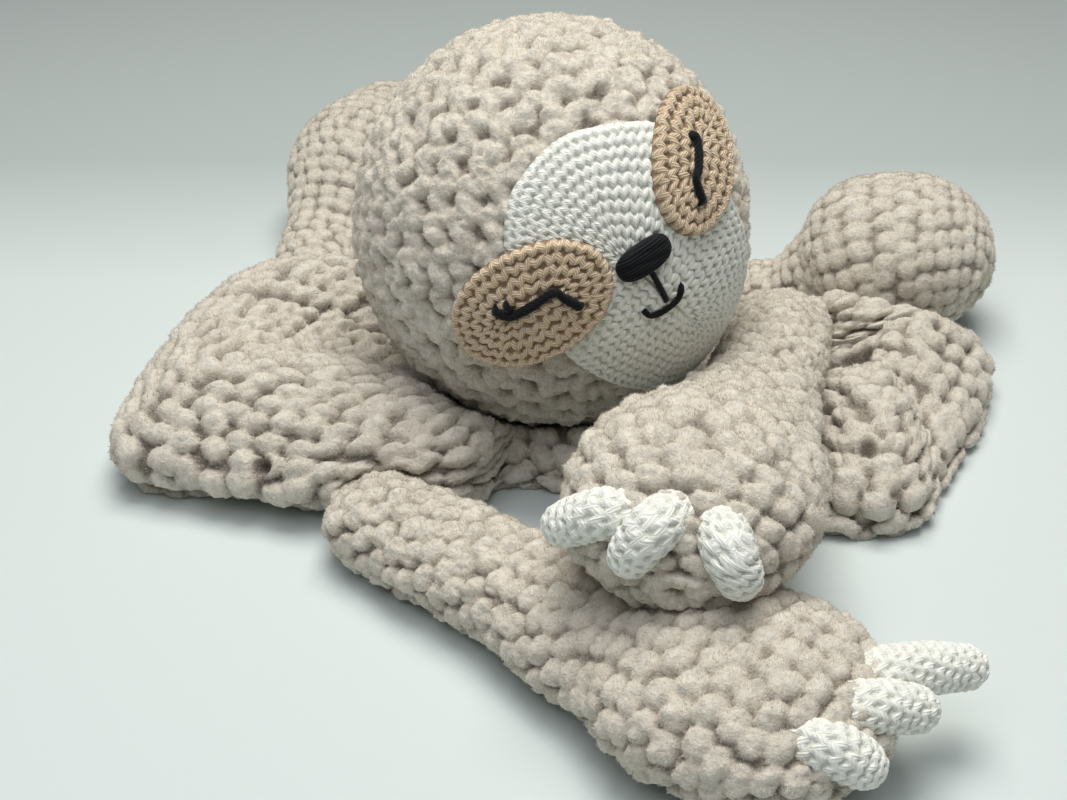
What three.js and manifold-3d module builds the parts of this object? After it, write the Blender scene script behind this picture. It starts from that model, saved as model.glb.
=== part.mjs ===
// Crocheted sloth comfort blanket: a stuffed ball head with a sewn-on cotton face, a square chenille
// cloth gathered round the head in folds, and a stuffed mitten limb sewn to each of its four corners.
// Millimetres, +Z up. The toy lies on the plane z = 0 and its face looks along -Y, turned a little to +X.
// Left and right are as seen from the front. While it is built, the head's centre is above the origin.

import * as THREE from "three";
import { mergeVertices } from "three/addons/utils/BufferGeometryUtils.js";
import Module from "manifold-3d";

const wasm = await Module();
wasm.setup();

// Driving sizes of the yarns and of the seams between pieces
const CLEARANCE = 0.3; // gap between pieces that lie on each other
const SOCKET_CLEARANCE = 0.8; // between a limb's seam and the hollow in the cloth that it turns in
const FABRIC = 4; // wall of a stuffed chenille cover
const CLOTH = 7; // thickness of the unstuffed cloth
const COTTON = 1.8; // thickness of the face plate
const PATCH = 2.4; // thickness of an eye patch, worked with doubled cotton
const SEAM_YARN = 1.2; // radius of the chenille strand that sews the pieces together
const EMBROIDERY = 1; // radius of a line of black embroidery
const NOSE = 3; // height of the satin-stitched nose
const FLOOR_CUT = 0.5; // how deep the soft forms are flattened where they lie

// Driving sizes of the head
const HEAD_RADIUS = 55;
const HEAD_STRETCH = 1.035; // the ball is a little taller than wide
const HEAD_CLEARANCE = 0.6; // round the ball, so that it turns freely on its neck
const FACE_TURN = 19.8; // degrees to the right of straight ahead
const FACE_LIFT = 18.1; // degrees above level
const FACE_ROLL = 29.6; // degrees, the crown leaning to the left
const FACE_STANDOFF = 0.5; // the plate's underside above the ball's facets
const NECK_AXIS = new THREE.Vector3(-0.25, 0.5, -0.83).normalize();
const NECK_OPENING = 14; // radius of the hole that the stuffing goes in by
const NECK_SEAM = 18; // radius of the seam that holds the head on the cloth

// Face pieces in degrees: across and down from between the eyes, then half length, half width, tilt
const FACE_PLATE = { across: 0.4, down: 17.5, long: 33, short: 48, tilt: -15, fullness: 2.6 };
const EYE_PATCHES = {
  left: { across: -29.8, down: 0.2, long: 22.4, short: 15, tilt: 2, fullness: 2.1 },
  right: { across: 29.7, down: -3.8, long: 20.5, short: 13.6, tilt: -35, fullness: 2.1 },
};
const NOSE_PATCH = { across: 0.8, down: 6.3, long: 8, short: 4.2, tilt: 5, fullness: 2.2 };
const PLATE_GRID = { sides: 24, rows: 5 };
const EYE_GRID = { sides: 20, rows: 3 };
const NOSE_GRID = { sides: 14, rows: 2 };
const PATCH_DOME = 0.6; // a patch's edge is this share as high as its middle
const DOME_TURN = 6; // how late the top of a patch bends down to its edge
const TOP_SHARE = 0.97; // reach of a patch's top against its underside
const EYELIDS = {
  left: [[-37.2, -6.4], [-34.8, -1.7], [-28.6, -0.9], [-21.9, -0.7], [-20.8, 2.1], [-18.4, 7.1]],
  right: [[29.7, -11.2], [30.5, -8.6], [29, -6], [25.1, -2], [23.2, -0.9], [20.9, 6.2]],
};
const SMILE = [[-6.2, 18.1], [-5.1, 21.2], [-0.3, 22.8], [3.6, 22.4], [6.5, 19.6]];
const PHILTRUM = [[0.5, 11.8], [0.4, 21.6]]; // the line from the nose down to the smile

// Limbs: the path of each limb's middle, and rows of share of its length, half width, half height
const LIMB_SIDES = 13;
const LIMB_STEPS = 11;
const ARM_PROFILE = [[0, 15.5, 11.5], [0.35, 16.5, 12.5], [0.56, 22.5, 13.5], [0.77, 31, 18], [1, 31, 18]];
const PAW_PROFILE = [
  [0, 14.5, 8.5],
  [0.18, 15, 10.5],
  [0.38, 15.5, 12.5],
  [0.55, 19.5, 15.5],
  [0.8, 29.5, 20.5],
  [1, 29.5, 20.5],
];
const LEG_PROFILE = [[0, 13, 7], [0.32, 13.5, 8], [0.64, 29, 25.5], [1, 29, 25.5]];
const LIMBS = {
  arm_left: {
    path: [[-55, -61, 11], [-43, -72, 11], [-15, -96, 12], [16, -123, 13], [42, -146, 17], [67, -165, 17]],
    profile: ARM_PROFILE,
  },
  arm_right: {
    path: [
      [77, 44, 17],
      [73, 30, 18],
      [68.3, 8, 22.7],
      [63, -12, 25.5],
      [53.5, -45, 29],
      [42.6, -77, 35.5],
      [32, -107, 43],
      [26, -138, 38],
    ],
    profile: PAW_PROFILE,
    dip: 4, // room for the root's end to go down as the paw lifts
    liesOn: "arm_left", // presses this limb's underside in
  },
  leg_left: {
    path: [[-80, 66, 6.5], [-82, 80, 7], [-80, 106, 14], [-72, 132, 22], [-58, 158, 25], [-40, 180, 25]],
    profile: LEG_PROFILE,
  },
  leg_right: {
    path: [[44, 80, 6.5], [58, 78, 6.5], [75, 76, 7], [92, 72, 15], [110, 67, 24], [146, 61, 25]],
    profile: LEG_PROFILE,
  },
};
const SEAM_RADIUS = 7.2; // of the drawn-up end where a limb is sewn on
const OPENING_BALL = 6; // the hole in a limb's end that the stuffing goes in by

// Claws: where each comes out of the hand and where its tip lies
const CLAW_PROFILE = [[0, 5.2, 5], [0.6, 5.6, 5.3], [1, 4.6, 4.4]];
const CLAWS = {
  arm_left: [
    [[56, -148, 19], [70, -146.5, 23.5], [94, -140, 20]],
    [[48, -159, 19], [62, -159, 24.5], [80, -155, 20.5]],
    [[42, -163, 19], [54, -169.5, 23.5], [66, -171, 17.5]],
  ],
  arm_right: [
    [[25, -118, 46], [11.3, -125.3, 50.6], [-2, -120.6, 43]],
    [[30, -120, 50], [20.2, -133.6, 51.8], [13.6, -133.4, 41.3]],
    [[35, -122, 50], [36.6, -138.6, 49.3], [40.6, -139.3, 39.3]],
  ],
};

// How finely the strands and threads are rounded
const STRAND_SIDES = 5;
const THREAD_SIDES = 6;
const THREAD_STEPS = 3; // between two points of a line of embroidery

const UP = new THREE.Vector3(0, 0, 1);
const vec = (p) => new THREE.Vector3(...p);
const rad = THREE.MathUtils.degToRad;
const lerp = THREE.MathUtils.lerp;

const headReach = HEAD_RADIUS * HEAD_STRETCH + HEAD_CLEARANCE;
const headCentre = new THREE.Vector3(0, 0, CLOTH + headReach);

// Closed skins and solids

/** A closed skin from a first point through rings of points, each turning about the way on, to a last. */
function skin(first, rings, last) {
  const sides = rings[0].length;
  const at = (ring, side) => 1 + ring * sides + (side % sides);
  const end = 1 + rings.length * sides;
  const index = [];
  for (let side = 0; side < sides; side++) {
    index.push(0, at(0, side + 1), at(0, side));
    for (let ring = 0; ring + 1 < rings.length; ring++) {
      index.push(at(ring, side), at(ring, side + 1), at(ring + 1, side + 1));
      index.push(at(ring, side), at(ring + 1, side + 1), at(ring + 1, side));
    }
    index.push(end, at(rings.length - 1, side), at(rings.length - 1, side + 1));
  }
  const geometry = new THREE.BufferGeometry().setFromPoints([first, ...rings.flat(), last]);
  return geometry.setIndex(index);
}

/** The solid that a closed geometry bounds. */
function solid(geometry) {
  const bare = geometry.clone();
  bare.deleteAttribute("normal");
  bare.deleteAttribute("uv");
  const merged = mergeVertices(bare, 1e-4);
  return new wasm.Manifold(
    new wasm.Mesh({
      numProp: 3,
      vertProperties: Float32Array.from(merged.attributes.position.array),
      triVerts: Uint32Array.from(merged.index.array),
    }),
  );
}

/** The geometry of a solid's faces. */
function faces(body) {
  const mesh = body.getMesh();
  const geometry = new THREE.BufferGeometry();
  geometry.setAttribute("position", new THREE.Float32BufferAttribute(mesh.vertProperties, 3));
  geometry.setIndex(Array.from(mesh.triVerts));
  return geometry;
}

/** A ball of the given radius round a centre, stretched upwards. */
function ball(centre, radius, stretch, sides, rings) {
  const geometry = new THREE.SphereGeometry(radius, sides, rings);
  geometry.rotateX(Math.PI / 2).scale(1, 1, stretch).translate(...centre.toArray());
  return solid(geometry);
}

/** Everything below the floor, which flattens what lies on it. */
function floor() {
  const size = 1000;
  return solid(new THREE.BoxGeometry(size, size, size).translate(0, 0, -size / 2));
}

// Forms that swell and taper along a path

/** Half width and half height at a share of a profile's length, easing from row to row. */
function profileAt(profile, share) {
  const next = Math.max(1, profile.findIndex(([at]) => at >= share));
  const [at0, width0, height0] = profile[next - 1];
  const [at1, width1, height1] = profile[next];
  const ease = THREE.MathUtils.smoothstep(share, at0, at1);
  return [lerp(width0, width1, ease), lerp(height0, height1, ease)];
}

/** A curve's point and direction at a distance along it, going straight on past its ends. */
function alongCurve(curve, distance) {
  const length = curve.getLength();
  const inside = THREE.MathUtils.clamp(distance, 0, length);
  const tangent = curve.getTangentAt(inside / length);
  const point = curve.getPointAt(inside / length).addScaledVector(tangent, distance - inside);
  return { point, tangent };
}

/**
 * A plump form along a path, round at both ends, with its rings closer together there.
 * The inset draws the whole surface in by a wall's thickness.
 */
function plumpForm({ path, profile, sides = LIMB_SIDES, steps = LIMB_STEPS }, inset = 0) {
  const curve = new THREE.CatmullRomCurve3(path.map(vec));
  const length = curve.getLength();
  const rings = [];
  for (let step = 1; step < steps; step++) {
    const spread = (1 - Math.cos((Math.PI * step) / steps)) / 2;
    const along = lerp(inset, length - inset, spread);
    const share = along / length;
    const [width, height] = profileAt(profile, THREE.MathUtils.clamp(share, 0, 1));
    const full = width - inset;
    const reach = Math.min(along - inset, length - inset - along, full);
    const round = Math.sqrt(1 - ((full - reach) / full) ** 2);
    const { point, tangent } = alongCurve(curve, along);
    const across = UP.clone().cross(tangent).normalize();
    const upward = tangent.clone().cross(across);
    rings.push(ringOf(sides, point, across, upward, full * round, (height - inset) * round));
  }
  return solid(skin(alongCurve(curve, inset).point, rings, alongCurve(curve, length - inset).point));
}

/** Points round an oval, turning from its first axis to its second. */
function ringOf(sides, centre, first, second, firstRadius, secondRadius) {
  return Array.from({ length: sides }, (_, side) => {
    const turn = (2 * Math.PI * side) / sides;
    return centre
      .clone()
      .addScaledVector(first, firstRadius * Math.cos(turn))
      .addScaledVector(second, secondRadius * Math.sin(turn));
  });
}

/** A closed loop of strand round an axis, its second radius along the upward side. */
function strandLoop(centre, axis, radius, strand, sides, flatness = 1) {
  const across = UP.clone().cross(axis).normalize();
  const upward = axis.clone().cross(across);
  const basis = new THREE.Matrix4().makeBasis(across, upward, axis.clone());
  const geometry = new THREE.TorusGeometry(radius, strand, STRAND_SIDES, sides);
  return solid(geometry.scale(1, flatness, 1).applyMatrix4(basis).translate(...centre.toArray()));
}

// The head and what is sewn on it

const faceTurn = new THREE.Matrix4()
  .makeRotationZ(rad(FACE_TURN))
  .multiply(new THREE.Matrix4().makeRotationX(rad(-FACE_LIFT)))
  .multiply(new THREE.Matrix4().makeRotationY(rad(-FACE_ROLL)));
const FACE_OUT = new THREE.Vector3(0, -1, 0).applyMatrix4(faceTurn);
const FACE_ACROSS = new THREE.Vector3(1, 0, 0).applyMatrix4(faceTurn);
const FACE_DOWN = new THREE.Vector3(0, 0, -1).applyMatrix4(faceTurn);

/** Direction from the head's centre, in degrees across and down from the point between the eyes. */
function faceDirection(across, down) {
  const forward = FACE_OUT.clone().multiplyScalar(Math.cos(rad(down)));
  forward.addScaledVector(FACE_DOWN, Math.sin(rad(down)));
  return forward.multiplyScalar(Math.cos(rad(across))).addScaledVector(FACE_ACROSS, Math.sin(rad(across)));
}

/** Point above the ball's surface in a direction from its centre. */
function headPoint(direction, height) {
  const level = Math.hypot(direction.x, direction.y) / HEAD_RADIUS;
  const upright = direction.z / (HEAD_RADIUS * HEAD_STRETCH);
  return headCentre.clone().addScaledVector(direction, 1 / Math.hypot(level, upright) + height);
}

/** A domed patch that lies on the head: an oval in degrees, between two heights above the ball. */
function facePatch({ across, down, long, short, tilt, fullness }, { sides, rows }, low, high) {
  const middle = faceDirection(across, down);
  const sideways = faceDirection(across + 90, down);
  const downward = sideways.clone().cross(middle);
  const edge = (turn) => {
    const along = Math.abs(Math.cos(turn - rad(tilt)) / long) ** fullness;
    const aside = Math.abs(Math.sin(turn - rad(tilt)) / short) ** fullness;
    return (along + aside) ** (-1 / fullness);
  };
  const ringAt = (share, height) =>
    Array.from({ length: sides }, (_, side) => {
      const turn = (2 * Math.PI * side) / sides;
      const reach = rad(edge(turn) * share);
      const heading = sideways.clone().multiplyScalar(Math.cos(turn));
      heading.addScaledVector(downward, Math.sin(turn));
      const direction = middle.clone().multiplyScalar(Math.cos(reach));
      return headPoint(direction.addScaledVector(heading, Math.sin(reach)), height);
    });
  const shares = Array.from({ length: rows }, (_, row) => (row + 1) / rows);
  const under = shares.map((share) => ringAt(share, low));
  const edgeHeight = lerp(low, high, PATCH_DOME);
  const over = shares.map((share) => ringAt(share * TOP_SHARE, lerp(high, edgeHeight, share ** DOME_TURN)));
  const rings = [...under, ...over.reverse()];
  return facingOut(skin(headPoint(middle, low), rings, headPoint(middle, high)));
}

/** The solid of a skin, turned right side out. */
function facingOut(geometry) {
  const body = solid(geometry);
  if (body.volume() > 0) return body;
  const index = geometry.index.array;
  for (let corner = 0; corner < index.length; corner += 3) {
    [index[corner], index[corner + 1]] = [index[corner + 1], index[corner]];
  }
  return solid(geometry);
}

/** A line of embroidery over the face through points given in degrees across and down. */
function embroidery(points, height, radius = EMBROIDERY) {
  const stops = points.map(([across, down]) => headPoint(faceDirection(across, down), height));
  const curve = new THREE.CatmullRomCurve3(stops);
  const steps = THREAD_STEPS * (points.length - 1);
  const rings = [];
  for (let step = 0; step <= steps; step++) {
    const centre = curve.getPointAt(step / steps);
    const tangent = curve.getTangentAt(step / steps);
    const outward = centre.clone().sub(headCentre).normalize();
    const aside = outward.clone().cross(tangent).normalize();
    rings.push(ringOf(THREAD_SIDES, centre, aside, tangent.clone().cross(aside), radius, radius));
  }
  const ends = [0, 1].map((share) => {
    const beyond = curve.getTangentAt(share).multiplyScalar(share ? radius : -radius);
    return curve.getPointAt(share).add(beyond);
  });
  return solid(skin(ends[0], rings, ends[1]));
}

/** The ball's surface drawn in by an inset. */
function headBall(inset, sides, rings) {
  const radius = HEAD_RADIUS - inset;
  const stretch = (HEAD_RADIUS * HEAD_STRETCH - inset) / radius;
  return ball(headCentre, radius, stretch, sides, rings);
}

const neckSeat = headPoint(NECK_AXIS, 0);
const neckDepth = Math.sqrt((neckSeat.distanceTo(headCentre) - SEAM_YARN) ** 2 - NECK_SEAM ** 2);
const neckSeamCentre = headCentre.clone().addScaledVector(NECK_AXIS, neckDepth);
const neckLoop = (extra) => strandLoop(neckSeamCentre, NECK_AXIS, NECK_SEAM, SEAM_YARN + extra, 24);

/** The chenille ball with its neck opening, and the groove that the seam lies in. */
function headCover() {
  const opening = new THREE.CylinderGeometry(NECK_OPENING, NECK_OPENING, HEAD_RADIUS, 14);
  const turn = new THREE.Quaternion().setFromUnitVectors(new THREE.Vector3(0, 1, 0), NECK_AXIS);
  opening.applyQuaternion(turn).translate(...neckSeat.toArray());
  return headBall(0, 24, 14)
    .subtract(headBall(FABRIC, 16, 10))
    .subtract(solid(opening))
    .subtract(neckLoop(CLEARANCE));
}

// The limbs

/** A limb's form, drawn in by an inset also where the limb that it lies on presses it in. */
function pressed(limb, inset) {
  const form = plumpForm(limb, inset);
  return limb.liesOn ? form.subtract(plumpForm(LIMBS[limb.liesOn], -CLEARANCE - inset)) : form;
}

/** Everything that follows from one limb's path: its cover, stuffing, seam, hinge and socket. */
function limbPieces(limb) {
  const curve = new THREE.CatmullRomCurve3(limb.path.map(vec));
  const [, rootWidth, rootHeight] = limb.profile[0];
  const rootEnd = curve.getPointAt(0);
  const rootAxis = curve.getTangentAt(0);
  const hinge = rootEnd.clone().addScaledVector(rootAxis, rootWidth);
  const flatness = rootHeight / rootWidth;
  const depth = rootWidth - Math.sqrt(rootWidth ** 2 - SEAM_RADIUS ** 2);
  const seamCentre = rootEnd.clone().addScaledVector(rootAxis, depth);
  const seam = (extra) => strandLoop(seamCentre, rootAxis, SEAM_RADIUS, SEAM_YARN + extra, 10, flatness);
  const opening = ball(rootEnd.clone().addScaledVector(rootAxis, FABRIC / 2), OPENING_BALL, flatness, 10, 8);
  const cover = pressed(limb, 0)
    .subtract(floor())
    .subtract(pressed(limb, FABRIC))
    .subtract(opening)
    .subtract(seam(CLEARANCE));
  const stuffing = pressed(limb, FABRIC + CLEARANCE);
  const room = SEAM_YARN + SOCKET_CLEARANCE;
  const flat = (rootHeight + room + (limb.dip ?? 0)) / (rootWidth + room);
  const socket = ball(hinge, rootWidth + room, flat, 12, 8);
  return { cover, stuffing, seam: seam(0), socket, hinge };
}

/** A crocheted claw, its base cut off where the hand's cover begins. */
function claw(path, limb) {
  const form = plumpForm({ path, profile: CLAW_PROFILE, sides: 8, steps: 8 });
  return form.subtract(plumpForm(limb, -CLEARANCE));
}

// The cloth

// Where the cloth lies, from the neck outwards to its hem, clockwise from under the chin. Each row is
// one way out from the neck: five points of the cloth's middle surface, the last on its hem.
const DRAPE = [
  [[0, -2, 3], [3, -14, 3.5], [5, -24, 7], [7, -32, 12], [9, -38, 7]],
  [[-8, -12, 4], [-10, -19, 6], [-11, -26, 10], [-12, -31, 11], [-13, -36, 7]],
  [[-16, -22, 8], [-21, -34, 17], [-21, -44, 23], [-24, -53, 20], [-32, -59, 12]],
  [[-28, -20, 13.5], [-38, -31, 26], [-48, -41, 28], [-57, -50, 24], [-66, -58, 12]],
  [[-36, -10, 15], [-46, -19, 24], [-62, -27, 30], [-80, -38, 26], [-94, -50, 12]],
  [[-38, 4, 12], [-50, 3, 13], [-66, -5, 22], [-94, -21, 30], [-117.5, -42, 12]],
  [[-40, 20, 13], [-52, 22, 13], [-68, 20, 18], [-97, 8, 31], [-118, 0, 13]],
  [[-41, 36, 16], [-54, 40, 22], [-72, 43, 30], [-91, 44, 27], [-105, 46, 12]],
  [[-32, 54, 22], [-44, 58, 21], [-58, 60, 18], [-70, 62, 13], [-79, 65, 8]],
  [[-10, 62, 19], [-16, 74, 14], [-22, 84, 9], [-28, 92, 6], [-34, 100, 4]],
  [[8, 60, 14], [11, 72, 9], [13, 80, 6], [14, 88, 4.5], [15, 94, 4]],
  [[22, 54, 10], [27, 60, 8], [32, 65, 6], [35, 69, 5], [38, 73, 4]],
  [[27, 52, 9], [35, 56, 8], [42, 60, 6.5], [48, 62, 5], [53, 63, 4]],
  [[31, 48, 7], [44, 50, 5.5], [56, 52, 4.5], [65, 53, 4.2], [73, 54, 4]],
  [[33, 44, 6], [50, 44, 5], [68, 44, 4.5], [82, 41, 12], [89, 36.5, 21], [95, 41.5, 10]],
  [[34, 41, 6], [52, 39, 5], [70, 34, 4.5], [86, 28, 13], [102, 23.5, 24.5], [111, 28, 10]],
  [[34, 39, 6], [53, 36, 5], [72, 28, 5], [92, 20, 12], [114, 17, 24], [133, 22, 9]],
  [[34, 37, 6], [53, 33, 5], [74, 24, 5], [93, 16, 12], [109, 12, 23], [129, 4, 8]],
  [[33, 35, 6], [53, 30, 5], [74, 20, 5], [92, 12, 10], [104, 4, 20], [117, -22, 8]],
  [[32, 33, 5.5], [52, 28, 4.5], [73, 17, 5], [91, 10, 9], [101, -6, 13.5], [105, -42, 6]],
  [[31, 31, 5.5], [50, 25, 4.5], [72, 14, 5], [86, 8, 8.5], [95, -17, 22], [95, -59, 10]],
  [[30, 28, 5], [48, 22, 4.5], [69, 11, 4.5], [80, 4, 8.5], [86, -18, 21], [80, -60, 10]],
  [[28, 25, 4.5], [45, 18, 4], [62, 7, 4], [70, -4, 4.5], [76, -22, 7], [71, -57, 6]],
  [[27, 22, 4], [42, 14, 3.8], [55, 5, 3.7], [65, -8, 3.8], [68, -30, 4]],
  [[25, 18, 4], [38, 11, 3.5], [48, 3, 3.5], [55, -7, 3.5], [61, -20, 3.5]],
  [[20, 12, 3], [30, 7, 3], [39, 1, 3], [46, -7, 3], [52, -19, 3.5]],
  [[12, 2, 3], [20, -6, 3.2], [27, -15, 6], [32, -23, 11], [38, -32, 7]],
];
const CLOTH_SIDES = 31;
const CLOTH_RINGS = 9; // from where the cloth leaves the ball out to its hem
const NECK_RING = 24; // degrees round the neck where the cloth still hugs the ball
const HEM_ROLL = 5; // the most that the hem draws in before it rolls out onto the floor
// The roll's two places: reach past the cloth's edge, share of the roll drawn in, share of the drop
const HEM_CREASE = { reach: 2, drawn: 1, height: 0.45 };
const HEM_RIM = { reach: 4, drawn: 0.6, height: 0 };
const RIM_BULGE = CLOTH / 3; // how far the rolled edge bulges past the cloth's skin

/** The cloth's middle surface under the ball, at an angle from the neck's axis towards a side. */
function underBall(side, degrees) {
  const direction = NECK_AXIS.clone().multiplyScalar(Math.cos(rad(degrees)));
  direction.addScaledVector(side, Math.sin(rad(degrees)));
  return headCentre.clone().addScaledVector(direction, headReach + CLOTH / 2);
}

/** Points of one way out from the neck: round the ball's underside, along the drape, down over the hem. */
function wayOut(row) {
  const points = row.map(vec);
  const heading = points[0].clone().sub(headCentre).normalize();
  const side = heading.addScaledVector(NECK_AXIS, -heading.dot(NECK_AXIS)).normalize();
  const edge = points.at(-1);
  const outward = edge.clone().sub(points.at(-2)).setZ(0).normalize();
  const bed = CLOTH / 2 - FLOOR_CUT; // middle of the cloth where it lies on the floor
  const drop = edge.z - bed;
  const roll = Math.min(HEM_ROLL, drop);
  const hem = [HEM_CREASE, HEM_RIM].map(({ reach, drawn, height }) =>
    edge.clone().addScaledVector(outward, reach - drawn * roll).setZ(bed + drop * height),
  );
  const drape = new THREE.CatmullRomCurve3([underBall(side, NECK_RING), ...points, ...hem]);
  return [underBall(side, NECK_RING / 2), ...drape.getSpacedPoints(CLOTH_RINGS)];
}

/** The cloth as one closed skin, a fabric's thickness about its middle surface. */
function cloth() {
  const ways = DRAPE.map(wayOut);
  const middle = ways[0].map((_, ring) => {
    const curve = new THREE.CatmullRomCurve3(ways.map((way) => way[ring]), true);
    return Array.from({ length: CLOTH_SIDES }, (_, side) => curve.getPoint(side / CLOTH_SIDES));
  });
  const centre = underBall(NECK_AXIS, 0);
  const normals = middle.map((ring, r) =>
    ring.map((point, side) => {
      const around = ring[(side + 1) % CLOTH_SIDES].clone().sub(ring.at(side - 1));
      const inner = r ? middle[r - 1][side] : centre;
      const outer = (middle[r + 1] ?? ring)[side];
      return around.cross(outer.clone().sub(inner)).normalize();
    }),
  );
  const up = NECK_AXIS.clone().negate();
  const column = (point, normal, id) => [-CLOTH / 2, CLOTH / 2].map((distance, top) => ({
    point: point.clone().addScaledVector(normal, distance),
    order: 2 * id + top,
  }));
  const neck = column(centre, up, 0);
  const columns = middle.map((ring, r) =>
    ring.map((point, side) => column(point, normals[r][side], 1 + r * CLOTH_SIDES + side)),
  );
  const rimOrder = 2 * (1 + middle.length * CLOTH_SIDES);
  const rims = middle.at(-1).map((point, side) => {
    const outward = point.clone().sub(middle.at(-2)[side]).normalize();
    return { point: point.clone().addScaledVector(outward, RIM_BULGE), order: rimOrder + side };
  });
  const cells = [];
  for (let side = 0; side < CLOTH_SIDES; side++) {
    const next = (side + 1) % CLOTH_SIDES;
    cells.push(prism([neck, columns[0][side], columns[0][next]]));
    for (let r = 0; r + 1 < columns.length; r++) {
      cells.push(prism([columns[r][side], columns[r + 1][side], columns[r + 1][next]]));
      cells.push(prism([columns[r][side], columns[r + 1][next], columns[r][next]]));
    }
    const [here, there] = [side, next].map((at) => [...columns.at(-1)[at], rims[at]]);
    cells.push(prism(here.map((corner, k) => [corner, there[k]])));
  }
  return largest(wasm.Manifold.union(cells));
}

/** The largest closed body of a solid, without the slivers that a tight fold leaves inside. */
function largest(body) {
  return body.decompose().reduce((found, other) => (other.volume() > found.volume() ? other : found));
}

/** A solid between three edges, each a pair of corners; neighbours split their shared faces alike. */
function prism(edges) {
  const corners = edges.flat();
  const index = [0, 2, 4, 1, 5, 3];
  for (const k of [0, 2, 4]) {
    const face = [k, k + 1, ((k + 2) % 6) + 1, (k + 2) % 6];
    while (face.some((corner) => corners[corner].order < corners[face[0]].order)) face.push(face.shift());
    index.push(face[0], face[1], face[2], face[0], face[2], face[3]);
  }
  const geometry = new THREE.BufferGeometry().setFromPoints(corners.map(({ point }) => point));
  return facingOut(geometry.setIndex(index));
}

// The assembly

const CHENILLE = { color: "#c4b5a6", roughness: 0.95, metalness: 0 };
const WHITE_COTTON = { color: "#e6e8e1", roughness: 0.8, metalness: 0 };
const TAN_COTTON = { color: "#b98f6c", roughness: 0.75, metalness: 0 };
const BLACK_THREAD = { color: "#15171b", roughness: 0.6, metalness: 0 };
const FIBREFILL = { color: "#f4f3ee", roughness: 1, metalness: 0 };

const toy = new THREE.Group();

/** Adds one named piece to the toy. */
function add(name, body, finish) {
  const mesh = new THREE.Mesh(faces(body), new THREE.MeshStandardMaterial(finish));
  mesh.name = name;
  toy.add(mesh);
}

const plateLow = FACE_STANDOFF;
const plateHigh = plateLow + COTTON;
const patchLow = plateHigh + CLEARANCE;
const patchHigh = patchLow + PATCH;

add("head_cover", headCover(), CHENILLE);
add("head_stuffing", headBall(FABRIC + CLEARANCE, 16, 10), FIBREFILL);
add("neck_seam", neckLoop(0), CHENILLE);
add("face_plate", facePatch(FACE_PLATE, PLATE_GRID, plateLow, plateHigh), WHITE_COTTON);
for (const [side, patch] of Object.entries(EYE_PATCHES)) {
  add(`eye_patch_${side}`, facePatch(patch, EYE_GRID, patchLow, patchHigh), TAN_COTTON);
  add(`eyelid_${side}`, embroidery(EYELIDS[side], patchHigh + CLEARANCE + EMBROIDERY), BLACK_THREAD);
}
const noseForm = facePatch(NOSE_PATCH, NOSE_GRID, patchLow, plateHigh + NOSE);
const lineHeight = plateHigh + CLEARANCE + EMBROIDERY;
add("nose", noseForm, BLACK_THREAD);
add("mouth", embroidery(SMILE, lineHeight).add(embroidery(PHILTRUM, lineHeight)), BLACK_THREAD);

let blanket = cloth().subtract(floor()).subtract(ball(headCentre, headReach, 1, 17, 11));
for (const [name, limb] of Object.entries(LIMBS)) {
  const { cover, stuffing, seam, socket } = limbPieces(limb);
  blanket = blanket.subtract(socket);
  add(`${name}_cover`, cover, CHENILLE);
  add(`${name}_stuffing`, stuffing, FIBREFILL);
  add(`${name}_seam`, seam, CHENILLE);
  (CLAWS[name] ?? []).forEach((path, number) => {
    add(`${name}_claw_${number + 1}`, claw(path, limb), WHITE_COTTON);
  });
}
add("blanket", largest(blanket), CHENILLE);

// The origin goes to the middle of the toy's underside
const bounds = new THREE.Box3().setFromObject(toy);
const middle = bounds.getCenter(new THREE.Vector3());
toy.position.set(-middle.x, -middle.y, -bounds.min.z);

export default toy;
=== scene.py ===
"""Crocheted sloth comfort blanket: a stuffed head on a gathered chenille cloth with a limb at each corner.

Lengths are millimetres until a mesh is made. While a piece is worked out, the head's centre stands above
the origin, +Z is up and the camera looks along +Y. Left and right are as the camera sees them.
"""

import logging
import math
from dataclasses import dataclass, field
from enum import Enum
from typing import Callable, Iterable, Optional, Sequence

import bpy
import numpy as np
from mathutils import Matrix, Vector

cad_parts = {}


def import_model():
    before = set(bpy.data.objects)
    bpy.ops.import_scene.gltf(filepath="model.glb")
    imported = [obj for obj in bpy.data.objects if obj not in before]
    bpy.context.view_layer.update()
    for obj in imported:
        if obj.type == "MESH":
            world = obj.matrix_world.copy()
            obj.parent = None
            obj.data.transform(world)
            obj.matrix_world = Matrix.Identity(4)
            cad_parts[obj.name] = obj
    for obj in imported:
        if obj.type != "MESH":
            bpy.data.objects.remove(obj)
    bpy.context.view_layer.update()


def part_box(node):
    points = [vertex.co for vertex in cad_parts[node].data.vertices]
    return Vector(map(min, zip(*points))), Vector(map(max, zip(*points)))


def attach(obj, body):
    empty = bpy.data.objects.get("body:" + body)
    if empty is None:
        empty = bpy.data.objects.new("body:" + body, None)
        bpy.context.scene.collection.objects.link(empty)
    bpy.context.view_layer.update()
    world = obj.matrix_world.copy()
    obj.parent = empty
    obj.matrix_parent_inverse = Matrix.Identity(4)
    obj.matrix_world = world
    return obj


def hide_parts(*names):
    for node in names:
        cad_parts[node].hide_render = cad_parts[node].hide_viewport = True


LOG = logging.getLogger("sloth_comforter")
MM = 0.001
UP = np.array([0.0, 0.0, 1.0])
CLOTH_THICKNESS = 7.0
COVER_WALL = 4.0
GAP = 0.3  # between pieces that lie on each other
SEAM_YARN = 1.2  # radius of the strand that sews the pieces together
BALL_GAP = 0.6  # round the head, so that it turns on its neck
UNDERSIDE = -0.45  # the part of a face's way out that points up, below which no one sees it


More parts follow.
